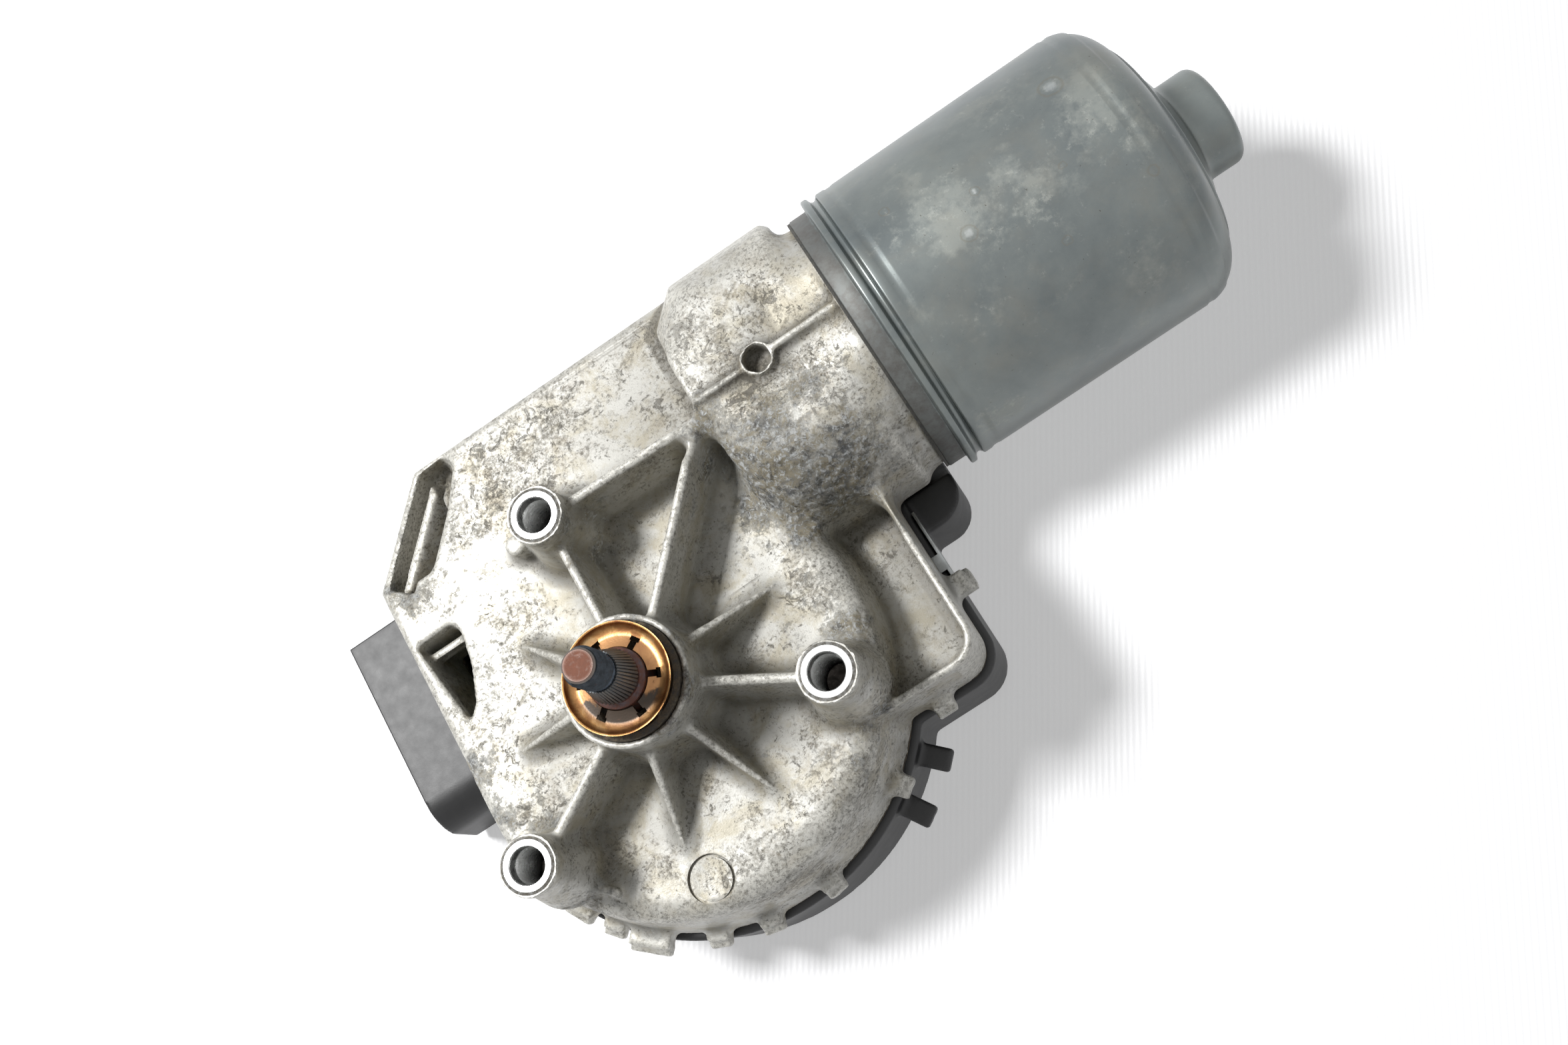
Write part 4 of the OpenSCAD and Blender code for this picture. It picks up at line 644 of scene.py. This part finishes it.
def buildCasting():
    piece, s = mergedCopy("gear_housing", "castHousing"), SimpleNamespace(**castShape)
    cutBy(piece, [recessCutter(), box("flangeTop", flangeTop)])
    cutBy(piece, [hull("ramp", flangeRamp), box("rib", crestRib)], "UNION")
    reskinned(piece, s.voxel, s.relax, s.relaxFactor)
    soften(piece)
    corrode(piece)
    thinned(piece, s.triangles)
    grooveLow, grooveHigh = s.webTop - s.markDepth - 0.4, s.webTop + 1
    cutBy(piece, [drill(s.boreRadius, -s.boreDepth, 2, x, y) for x, y in bossPlaces]
          + [drill(s.faceRadius, -s.faceDrop, 2, x, y) for x, y in bossPlaces]
          + [ringCutter(*s.markPlace, s.markRadius, s.markWidth, grooveLow, grooveHigh)])
    co = markCorners(piece)[0]
    paint(piece.data, "crust", blobs(crustSpots, co))
    paint(piece.data, "soil", blobs(soilSpots, co))
    softShade(piece, 50)
    return finish(piece, "case", materials["cast_alloy"], ["gear_housing"])


casting = buildCasting()
print("casting:", len(casting.data.polygons), "faces")

# Turned faces of the bosses: bright ring, plain counterbore above the thread
faceShape = {
    "outer": 5.95, "ring": 5.0, "bore": 3.78, "mouth": 3.72, "plain": 2.4, "depth": 16.9, "wall": 4.6, "foot": 17.3,
}


def buildBossFaces():
    s = SimpleNamespace(**faceShape)
    profile = [
        (0, -s.depth), (s.bore, -s.depth + 1.2), (s.bore, -s.plain - 0.2), (s.mouth - 0.06, -s.plain),
        (s.mouth - 0.06, -0.3), (s.mouth + 0.12, 0), (s.ring, 0), (s.ring + 0.08, -0.06), (s.outer - 0.2, -0.22),
        (s.outer, -0.5), (s.outer, -1.2), (s.wall, -1.4), (s.wall, -s.foot), (0, -s.foot),
    ]
    piece = joinedParts([lathe("ring", profile, 96, at=(x, y, 0)) for x, y in bossPlaces], "bossFaces")
    co = points(piece.data) / mm
    reach = np.min([np.hypot(co[:, 0] - x, co[:, 1] - y) for x, y in bossPlaces], axis=0)
    paint(piece.data, "bevel", (reach > s.ring + 0.05) * 1.0)
    softShade(piece, 25)
    return finish(piece, "case", materials["machined"])


buildBossFaces()


def newGeometryTree(name, sizes):
    tree = bpy.data.node_groups.new(name, "GeometryNodeTree")
    tree.interface.new_socket("Geometry", in_out="OUTPUT", socket_type="NodeSocketGeometry")
    for label, size in sizes.items():
        kind = "NodeSocketInt" if isinstance(size, int) else "NodeSocketFloat"
        tree.interface.new_socket(label, in_out="INPUT", socket_type=kind).default_value = size
    given = addNode(tree, "NodeGroupInput").outputs
    return tree, {label: Value(tree, given[label]) for label in sizes}


def closeTree(tree, geometry, material):
    whole = outputOf(tree, "GeometryNodeRealizeInstances", links={"Geometry": geometry})
    painted = outputOf(tree, "GeometryNodeSetMaterial", {"Material": material}, {"Geometry": whole})
    addNode(tree, "NodeGroupOutput", links={"Geometry": painted})
    return tree


def circled(tree, count, radius):
    return outputOf(tree, "GeometryNodeMeshCircle", links={"Vertices": count, "Radius": radius})


def moved(tree, geometry, **links):
    return outputOf(tree, "GeometryNodeTransform", links={"Geometry": geometry, **links})


def copied(tree, places, shape, **links):
    return outputOf(tree, "GeometryNodeInstanceOnPoints", links={"Points": places, "Instance": shape, **links})


def evenTurn(tree, count):  # turns each copy to its own place on the circle
    index = outputOf(tree, "GeometryNodeInputIndex")
    return xyz(tree, Z=index * maths(tree, "DIVIDE", 2 * math.pi, count))


def grown(name, tree, sizes):
    piece = linked(name, bpy.data.meshes.new(name))
    grower = piece.modifiers.new("grow", "NODES")
    grower.node_group = tree
    for item in tree.interface.items_tree:
        if item.in_out == "INPUT" and item.name in sizes:
            grower[item.identifier] = sizes[item.name]
    return applied(piece)


# Screw thread: a four-sided ridge swept along a helix, set on points of a circle
def threadTree(material):
    tree, given = newGeometryTree("thread_ridge", {
        "Ridge Radius": 3.4 * mm, "Ridge Depth": 0.6 * mm, "Turns": 8.0, "Height": 10 * mm, "Start Height": 0.0,
        "Places": 3, "Circle Radius": 40 * mm, "First Angle": 0.0,
    })
    radius = given["Ridge Radius"]
    helix = outputOf(tree, "GeometryNodeCurveSpiral", {"Resolution": 36}, {
        "Rotations": given["Turns"], "Start Radius": radius, "End Radius": radius, "Height": given["Height"]})
    upright = outputOf(tree, "GeometryNodeSetCurveNormal", {"mode": "Z_UP"}, {"Curve": helix})
    section = outputOf(tree, "GeometryNodeCurvePrimitiveCircle", {"mode": "RADIUS", "Resolution": 4},
                       {"Radius": given["Ridge Depth"]})
    ridge = outputOf(tree, "GeometryNodeCurveToMesh", {"Fill Caps": True}, {"Curve": upright, "Profile Curve": section})
    places = circled(tree, given["Places"], given["Circle Radius"])
    placed = moved(tree, places, Translation=xyz(tree, Z=given["Start Height"]),
                   Rotation=xyz(tree, Z=given["First Angle"]))
    return closeTree(tree, copied(tree, placed, ridge), material)


threads = {
    "bosses": {"Ridge Radius": 3.84 * mm, "Ridge Depth": 0.44 * mm, "Turns": 10.3, "Height": 12.9 * mm,
               "Start Height": -15.6 * mm, "Places": 3, "Circle Radius": 40 * mm, "First Angle": math.radians(90)},
    "shaft": {"Ridge Radius": 3.4 * mm, "Ridge Depth": 0.52 * mm, "Turns": 5.4, "Height": 6.8 * mm,
              "Start Height": 16.7 * mm, "Places": 3, "Circle Radius": 0.0, "First Angle": 0.0},
}
bossThread = grown("bossThreads", threadTree(materials["machined"]), threads["bosses"])
softShade(bossThread, 20)
finish(bossThread, "case", materials["machined"])
print("boss threads:", len(bossThread.data.polygons), "faces")


# Serrations: square bars laid down the cone, one edge out, set on a circle
def serrationTree(material):
    tree, given = newGeometryTree("cone_serrations", {
        "Count": 44, "Mid Radius": 5.2 * mm, "Mid Height": 10 * mm, "Bar Width": 0.5 * mm, "Bar Length": 4.8 * mm,
        "Slope": 0.17,
    })
    places = moved(tree, circled(tree, given["Count"], given["Mid Radius"]),
                   Translation=xyz(tree, Z=given["Mid Height"]))
    width = given["Bar Width"]
    bar = outputOf(tree, "GeometryNodeMeshCube", links={"Size": xyz(tree, X=width, Y=width, Z=given["Bar Length"])})
    onEdge = outputOf(tree, "GeometryNodeTransform", {"Rotation": (0, 0, math.radians(45))}, {"Geometry": bar})
    leaning = moved(tree, onEdge, Rotation=xyz(tree, Y=given["Slope"] * -1.0))
    return closeTree(tree, copied(tree, places, leaning, Rotation=evenTurn(tree, given["Count"])), material)


# Output shaft: turned body, thread and serrated cone, one piece
shaftShape = {
    "radius": 6.0, "low": -39.4, "collar": 5.7, "coneFoot": 7.6, "coneTop": 15.2, "coneFootR": 5.35, "coneTopR": 3.9,
    "neckR": 3.05, "neckTop": 17.0, "coreR": 3.42, "tip": 24.6, "tipFlatR": 1.6, "barSunk": 0.3,
}
shaftBars = {
    "Count": 44, "Mid Radius": (shaftShape["coneFootR"] + shaftShape["coneTopR"] - 0.22) / 2 * mm,
    "Mid Height": 11.4 * mm, "Bar Width": 0.34 * mm, "Bar Length": 7.5 * mm, "Slope": 0.19,
}


def buildShaft():
    s = SimpleNamespace(**shaftShape)
    footR, topR = s.coneFootR - s.barSunk, s.coneTopR - s.barSunk  # the cone under the bars
    turned = lathe("turned", [
        (0, s.low), (s.radius - 0.5, s.low), (s.radius, s.low + 0.5),
        (s.radius, s.collar - 0.25), (s.radius - 0.2, s.collar), (footR, s.collar + 0.45),
        (footR, s.coneFoot - 0.7), (footR, s.coneFoot),
        (topR, s.coneTop), (s.neckR + 0.2, s.coneTop + 0.3), (s.neckR, s.coneTop + 0.6),
        (s.neckR, s.neckTop - 0.3), (s.coreR, s.neckTop),
        (s.coreR, s.tip - 1.0), (s.coreR - 0.1, s.tip - 0.35), (s.coreR - 0.5, s.tip - 0.05),
        (s.tipFlatR, s.tip), (0, s.tip - 0.06),
    ], 128)
    thread = grown("thread", threadTree(materials["shaft_steel"]), threads["shaft"])
    bars = grown("bars", serrationTree(materials["shaft_steel"]), shaftBars)
    for part, worn in ((turned, 0.0), (thread, 0.2), (bars, 0.9)):
        paint(part.data, "worn", np.full(len(part.data.vertices), worn))
    shaft = joinedParts([turned, thread, bars], "outputShaft")
    softShade(shaft, 30)
    return finish(shaft, "output", materials["shaft_steel"], ["output_shaft"])


buildShaft()
print("output shaft made")

# Motor can: drawn in one piece, its profile turned about the motor axis
canShape = {
    "axis": (43.0, -32.5), "r": 33.0, "wall": 1.8, "mouth": 75.0, "band": 31.4, "bandW": 4.3, "bead": 33.6,
    "beadW": 1.6, "groove": 32.1, "grooveW": 1.9, "end": 152.6, "shoulder": 9.5, "capR": 11.4, "capEnd": 162.6,
    "capRound": 2.2, "steps": 256, "dome": 3.8, "creaseAngle": 26, "creaseStep": 0.28, "drawDepth": 0.22,
    "wallR": 24.9, "wallMidR": 19, "wallFootR": 16, "capDentR": 3.8,
}
chalkSpots = [  # along the can, angle about it in degrees, reach in mm, strength
    (115, 104, 10, 1.0), (100, 85, 12, 0.8), (136, 86, 11, 0.8), (140, 105, 6, 0.9), (89, 165, 7, 1.0),
    (122, 60, 10, 0.6), (96, 120, 8, 0.6), (129, 141, 8, 0.7), (108, 250, 14, 0.8), (130, 290, 12, 0.8),
    (95, 330, 12, 0.7), (120, 10, 10, 0.7),
]
ringSpots = [  # dried drops, laid down as the chalk is
    (103, 99.5, 2.2, 1.0), (108.6, 88, 1.3, 1.1), (132.5, 69.6, 3.2, 1.0), (138.7, 116.5, 1.8, 0.8),
    (118, 120, 1.4, 0.9), (125, 98, 1.0, 1.0), (92, 74, 1.6, 0.9), (112, 260, 3.0, 1.0), (134, 300, 2.4, 1.0),
    (99, 340, 2.6, 1.0), (126, 20, 3.0, 0.9),
]


def arcPoints(cx, cy, r, a0, a1, n):
    return [(cx + r * math.cos(math.radians(a0 + (a1 - a0) * i / n)),
             cy + r * math.sin(math.radians(a0 + (a1 - a0) * i / n))) for i in range(n + 1)]


def canSpots(spots):
    (y, z), r = canShape["axis"], canShape["r"]
    return [(x, y + r * math.cos(math.radians(a)), z + r * math.sin(math.radians(a)), reach, strength)
            for x, a, reach, strength in spots]


def buildCan():
    s = SimpleNamespace(**canShape)
    x1 = s.mouth + s.bandW
    x2 = x1 + s.beadW
    x3 = x2 + s.grooveW
    innerR = s.r - s.wall
    centre = s.r - s.shoulder
    profile = [(s.band - s.wall, s.mouth + 0.1), (s.band - s.wall + 0.2, s.mouth),
               (s.band - 0.25, s.mouth), (s.band, s.mouth + 0.25), (s.band, x1 - 0.25),
               (s.band + 0.3, x1)]
    profile += arcPoints(s.bead - 0.5, x1 + 0.5, 0.5, -90, 0, 5)
    profile += arcPoints(s.bead - 0.5, x2 - 0.5, 0.5, 0, 80, 5)
    profile += arcPoints(s.groove + 0.75, (x2 + x3) / 2, 0.75, 245, 115, 8)
    profile += arcPoints(s.r - 0.4, x3 + 0.4, 0.5, 250, 360, 6)
    profile += [(s.r + 0.1, x3 + 1.9), (s.r, x3 + 2.2), (s.r - 0.14, x3 + 2.6), (s.r - 0.14, x3 + 3.6)]
    profile += [(s.r, x3 + 4.2)]
    bend = s.end - s.dome - s.shoulder
    profile += [(s.r, x) for x in np.arange(x3 + 4.6, bend - 0.8, 1.0)] + [(s.r, bend - 0.6)]
    profile += [(s.r - s.drawDepth, bend - 0.1), (s.r - s.drawDepth, bend + 0.9), (s.r - 0.12, bend + 1.5)]
    profile += arcPoints(centre, bend, s.shoulder, 11, s.creaseAngle, 6)
    profile += arcPoints(centre, bend, s.shoulder - s.creaseStep, s.creaseAngle + 2.5, 76, 14)
    profile += [(s.wallR + 0.2, bend + s.shoulder - 0.35), (s.wallR, bend + s.shoulder + 0.1)]
    profile += [(s.wallR - 0.4, bend + s.shoulder + 0.3), (s.wallMidR, bend + s.shoulder + 1.6)]
    profile += [(s.wallFootR, s.end - 0.75)]
    profile += arcPoints(s.capR + 2.4, s.end + 2.4, 2.4, 245, 180, 8)
    profile += arcPoints(s.capR - s.capRound, s.capEnd - s.capRound, s.capRound, 0, 90, 10)
    profile += [(s.capDentR + 0.4, s.capEnd), (s.capDentR, s.capEnd - 0.25), (0, s.capEnd - 0.3)]
    profile += [(0, s.capEnd - s.wall), (s.capR - s.wall, s.capEnd - s.wall), (s.capR - s.wall, s.end - s.wall)]
    profile += arcPoints(centre, bend, s.shoulder - s.wall, 90, 0, 10)
    profile += [(innerR, x3 + 3), (s.band - s.wall, x3 + 1), (s.band - s.wall, s.mouth + 0.1)]
    piece = lathe("motorCan", profile, s.steps, "X", (0, s.axis[0], s.axis[1]))
    co = points(piece.data)
    paint(piece.data, "chalk", blobs(canSpots(chalkSpots), co))
    paint(piece.data, "ring", blobs(canSpots(ringSpots), co))
    softShade(piece, 50)
    return finish(piece, "case", materials["can_steel"], ["motor_can"])


buildCan()
print("motor can made")

# Moulded cover: CAD solid remeshed, its edges rounded as a mould leaves them
coverShape = {"voxel": 0.55, "relax": 2, "relaxFactor": 0.5, "triangles": 120000}


def buildCover():
    piece, s = mergedCopy("electronics_cover", "electronicsCover"), SimpleNamespace(**coverShape)
    reskinned(piece, s.voxel, s.relax, s.relaxFactor)
    thinned(piece, s.triangles)
    piece.data.shade_smooth()
    return finish(piece, "case", materials["cover_plastic"], ["electronics_cover"])


cover = buildCover()
print("cover:", len(cover.data.polygons), "faces")

# Pressed washer: flat fingers parted by six slots, a rounded flange and a thin upright rim
washerShape = {
    "low": 3.6, "bore": 6.12, "flat": 8.7, "r": 11.08, "top": 5.58, "sheet": 0.45, "slots": 6, "firstSlot": 36,
    "slotIn": 5.6, "slotOut": 8.5, "slotWidth": 1.35, "slotHead": 2.0,
}


# Cutter for the fingers' slots: one box for each, set on a circle
def slotTree():
    tree, given = newGeometryTree("washer_slots", {
        "Count": 6, "First Angle": 0.0, "Inner Radius": 5 * mm, "Outer Radius": 8 * mm, "Width": 1 * mm,
        "Depth": 3 * mm, "Height": 4 * mm,
    })
    span = given["Outer Radius"] - given["Inner Radius"]
    places = circled(tree, given["Count"], given["Inner Radius"] + span * 0.5)
    slot = outputOf(tree, "GeometryNodeMeshCube", links={"Size": xyz(tree, X=span, Y=given["Width"], Z=given["Depth"])})
    copies = copied(tree, places, slot, Rotation=evenTurn(tree, given["Count"]))
    placed = moved(tree, copies, Translation=xyz(tree, Z=given["Height"]), Rotation=xyz(tree, Z=given["First Angle"]))
    return closeTree(tree, placed, materials["bronze_washer"])


def buildWasher():
    s = SimpleNamespace(**washerShape)
    low, sheet, flat, r = s.low, s.sheet, s.flat, s.r
    profile = [(s.bore, low + 0.62), (flat - 0.4, low + 0.05), (flat, low)]
    profile += [(r - 1.2, low + 0.22), (r - 0.45, low + 0.7), (r - 0.1, low + 1.3), (r, s.top)]
    profile += [(r - 0.12, s.top), (r - 0.36, s.top - 0.1), (r - 0.5, low + 1.45), (r - 0.85, low + 1.0)]
    profile += [(r - 1.4, low + 0.68), (flat - 0.1, low + sheet), (flat - 0.5, low + sheet + 0.05)]
    profile += [(s.bore + 0.1, low + 0.62 + sheet), (s.bore, low + 0.55 + sheet), (s.bore, low + 0.62)]
    piece, tree = lathe("cupWasher", profile, 128), slotTree()
    sizes = {"Count": s.slots, "First Angle": math.radians(s.firstSlot), "Depth": 4 * mm, "Height": (low + 0.6) * mm}
    cutters = (("stems", s.slotIn, s.slotOut, s.slotWidth), ("heads", s.slotOut - 0.75, s.slotOut + 0.15, s.slotHead))
    cutBy(piece, [grown(name, tree, dict(sizes, **{
        "Inner Radius": inner * mm, "Outer Radius": outer * mm, "Width": width * mm}))
        for name, inner, outer, width in cutters])
    co = points(piece.data) / mm
    paint(piece.data, "inner", (flat + 0.3 - np.hypot(co[:, 0], co[:, 1])) / 0.5)
    softShade(piece, 32)
    finish(piece, "output", materials["bronze_washer"], ["cup_washer"])


buildWasher()
print("washer made")

# Smaller shown pieces: the CAD shape with its edges broken
edged = {
    "hub_seal": ("seal_rubber", 0.15), "ground_strip": ("plain_steel", 0.1), "can_gasket": ("gasket", 0.05),
    "cover_seal": ("seal_rubber", 0.1), "cover_screws": ("plain_steel", 0.15),
    "connector_blades": ("tinned_brass", 0.1),
}


def buildEdged():
    for nodeName, (slotName, width) in edged.items():
        words = nodeName.split("_")
        piece = mergedCopy(nodeName, words[0] + "".join(w.title() for w in words[1:]) + "Shape")
        rim = piece.modifiers.new("rim", "BEVEL")
        rim.width, rim.segments, rim.limit_method, rim.angle_limit = width * mm, 2, "ANGLE", math.radians(40)
        applied(piece)
        softShade(piece, 32)
        finish(piece, "case", materials[slotName], [nodeName])


buildEdged()
print("edged pieces made")

# Nodes that keep their CAD mesh take their slot's finish
slotOf = {part["node"]: part["material_slot"] for part in frame["record"]["subparts"]}
for members in frame["record"]["behaviour"]["bodies"].values():
    for nodeName in members:
        shown = cadNodes[nodeName]
        if not shown.hide_render:
            shown.data.materials.clear()
            shown.data.materials.append(materials[slotOf[nodeName]])

# Plain pale cloth under the motor, with fine woven ribs
stageShape = {
    "floor": -66.15, "size": 1400, "ribPitch": 1.35, "ribAngle": 32.596, "waveUnit": 0.3142,
    "pale": "#EFEFF0", "rib": "#E4E4E6", "glow": 0.42,
}


def seenRays(tree):  # the white surround also shows in metal and glass
    rays = addNode(tree, "ShaderNodeLightPath").outputs
    camera, glossy, through = (Value(tree, rays[f"Is {k} Ray"]) for k in ("Camera", "Glossy", "Transmission"))
    return camera | (glossy | through)


def clothFloor():
    m, s = Surface("white_cloth"), stageShape
    turned = outputOf(m.tree, "ShaderNodeVectorRotate", {
        "rotation_type": "Z_AXIS", "Angle": math.radians(s["ribAngle"])}, {"Vector": m.place})
    ribs = outputOf(m.tree, "ShaderNodeTexWave", {
        "Scale": perMm(s["ribPitch"]) * s["waveUnit"], "Distortion": 0.3, "bands_direction": "X",
    }, {"Vector": turned}, "Fac")
    m.done(blend(ribs, s["rib"], s["pale"]), 0.0, 0.9, ribs, 0.25, 0.4)
    m.shader.inputs["Specular IOR Level"].default_value = 0.1
    glow = outputOf(m.tree, "ShaderNodeEmission", {"Color": (1, 1, 1, 1)}, {"Strength": seenRays(m.tree) * s["glow"]})
    both = outputOf(m.tree, "ShaderNodeAddShader", links={"Shader": m.shader.outputs["BSDF"], "Shader_001": glow})
    feed(m.tree, both, m.output.inputs["Surface"])
    return m.material


def buildStage():
    half, low = stageShape["size"] / 2 * mm, stageShape["floor"] * mm
    mesh = bpy.data.meshes.new("cloth")
    mesh.from_pydata([(x * half, y * half, low) for x, y in ((-1, -1), (1, -1), (1, 1), (-1, 1))], [], [(0, 1, 2, 3)])
    floor = linked("cloth", mesh)
    floor.data.materials.append(clothFloor())


buildStage()

# The photograph's camera, solved from the bosses, the shaft and the can
cameraShape = {
    "place": (75.381353, -88.359993, 290.714516), "focal": 2397.3993, "width": 2352, "sensor": 36,
    "right": (0.8283761794, -0.4961544073, -0.2600455912),
    "down": (-0.5499542676, -0.8085861614, -0.2091380481),
    "forward": (-0.1065045021, 0.3162581599, -0.9426757488),
}


def buildCamera():
    s = cameraShape
    eye = linked("camera", bpy.data.cameras.new("camera"))
    right, down, forward = (Vector(s[k]) for k in ("right", "down", "forward"))
    turn = Matrix((right, -down, -forward)).transposed().to_4x4()
    eye.matrix_world = Matrix.Translation(Vector(s["place"]) * mm) @ turn
    eye.data.sensor_width = s["sensor"]
    eye.data.lens = s["focal"] * s["sensor"] / s["width"]
    eye.data.clip_start, eye.data.clip_end = 0.01, 10
    bpy.context.scene.camera = eye


# Lamps: where each stands in metres, its side in metres, its power in watts; both aim at the case's middle
lamps = {"key": ((-0.42, 0.42, 0.95), 0.24, 14.5), "fill": ((0.6, -0.5, 0.6), 0.8, 0.3)}
lampAim = (0.03, 0.02, -0.03)
room = {"colour": "#E9ECEF", "strength": 0.07}


def buildLamps():
    for name, (place, side, watts) in lamps.items():
        lamp = bpy.data.lights.new(name, "AREA")
        lamp.shape, lamp.size, lamp.energy = "SQUARE", side, watts
        holder = linked(name, lamp)
        holder.location = place
        holder.rotation_mode = "QUATERNION"
        holder.rotation_quaternion = (Vector(lampAim) - Vector(place)).to_track_quat("-Z", "Y")


def buildWorld():
    world = bpy.data.worlds.new("room")
    bpy.context.scene.world = world
    world.use_nodes = True
    tree = world.node_tree
    tree.nodes.clear()
    dim = outputOf(tree, "ShaderNodeBackground", {"Color": hexColour(room["colour"]), "Strength": room["strength"]})
    white = outputOf(tree, "ShaderNodeBackground", {"Color": (1, 1, 1, 1), "Strength": 1.0})
    mix = outputOf(tree, "ShaderNodeMixShader", links={"Fac": seenRays(tree), "Shader": dim, "Shader_001": white})
    addNode(tree, "ShaderNodeOutputWorld", links={"Surface": mix})


buildCamera()
buildLamps()
buildWorld()
bpy.context.scene.view_settings.view_transform = "Standard"
print("stage, camera and lamps set")
